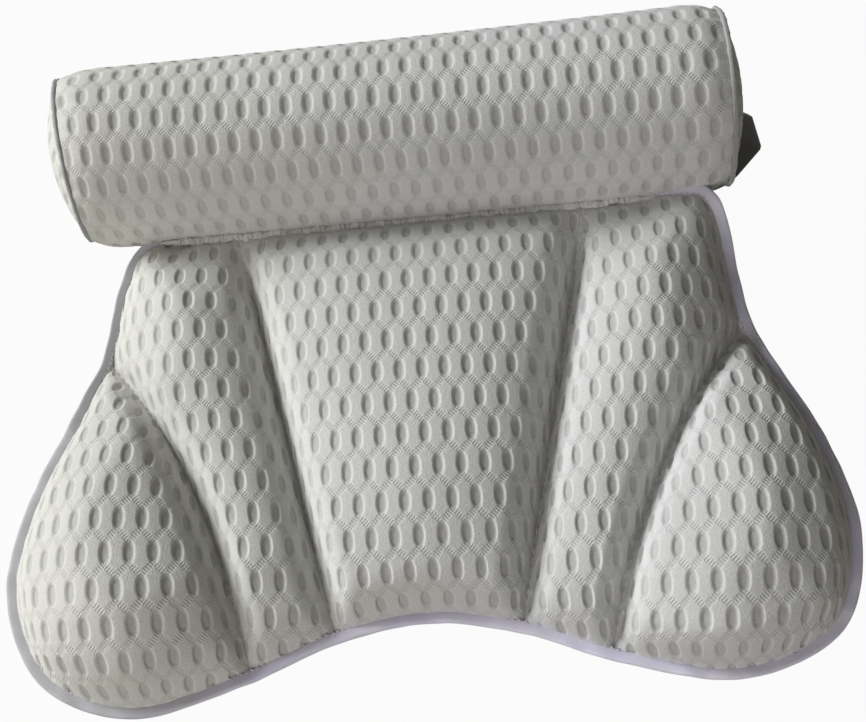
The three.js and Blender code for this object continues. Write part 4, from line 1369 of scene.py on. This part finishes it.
def make_floor():
    corners = [(x * FLOOR_HALF, y * FLOOR_HALF, FLOOR_Z) for x, y in ((-1, -1), (1, -1), (1, 1), (-1, 1))]
    material = bpy.data.materials.new("floor_white")
    material.use_nodes = True
    tree = material.node_tree
    shader = tree.nodes["Principled BSDF"]
    shader.inputs["Base Color"].default_value = (0.26, 0.25, 0.2, 1)
    shader.inputs["Roughness"].default_value = 0.9
    show_white(tree, shader, tree.nodes.new("ShaderNodeEmission"), 0.96, "Material Output")
    new_object("floor", corners, [(0, 1, 2, 3)], [material])


def make_world():
    world = bpy.data.worlds.new("studio")
    bpy.context.scene.world = world
    world.use_nodes = True
    tree = world.node_tree
    lamp = tree.nodes["Background"]
    lamp.inputs["Color"].default_value = (1, 0.96, 0.72, 1)
    lamp.inputs["Strength"].default_value = AMBIENT
    white = tree.nodes.new("ShaderNodeBackground")
    white.inputs["Color"].default_value = (1, 1, 1, 1)
    show_white(tree, lamp, white, 1.0, "World Output")


LIT_PLACE = Vector((0, 0, 0.03))


def area_light(name, direction, distance, size, power, colour):
    lamp = bpy.data.lights.new(name, "AREA")
    lamp.energy = power
    lamp.size = size
    lamp.color = colour
    thing = add_to_scene(name, lamp)
    away = Vector(direction).normalized()
    thing.location = LIT_PLACE + away * distance
    thing.rotation_euler = away.to_track_quat("Z", "Y").to_euler()


CAMERA_TARGET = Vector((7.0, 0.5, 30)) * MM
CAMERA_DISTANCE = 0.7
CAMERA_PITCH = 24.53
CAMERA_YAW = -4.84
CAMERA_ROLL = 4.94
CAMERA_LENS = 64.15


def make_camera():
    camera = bpy.data.cameras.new("camera")
    camera.sensor_width = 36
    camera.lens = CAMERA_LENS
    camera.clip_start = 0.01
    thing = add_to_scene("camera", camera)
    turns = ((CAMERA_ROLL, "Z"), (CAMERA_YAW, "Y"), (-CAMERA_PITCH, "X"))
    roll, yaw, pitch = (Matrix.Rotation(math.radians(angle), 3, axis) for angle, axis in turns)
    turn = roll @ yaw @ pitch
    thing.matrix_world = (Matrix.Translation(CAMERA_TARGET) @ turn.transposed().to_4x4()
                          @ Matrix.Translation((0, 0, CAMERA_DISTANCE)))
    bpy.context.scene.camera = thing


make_floor()
make_world()
area_light("window", direction=(-0.78, 0.44, 0.42), distance=3.5, size=1.5, power=127,
           colour=(0.99, 1.0, 1.0))
area_light("front_fill", direction=(-0.3, -0.8, 0.52), distance=1.8, size=1.6, power=14,
           colour=(1.0, 0.98, 0.95))
make_camera()
bpy.context.scene.view_settings.view_transform = "Standard"
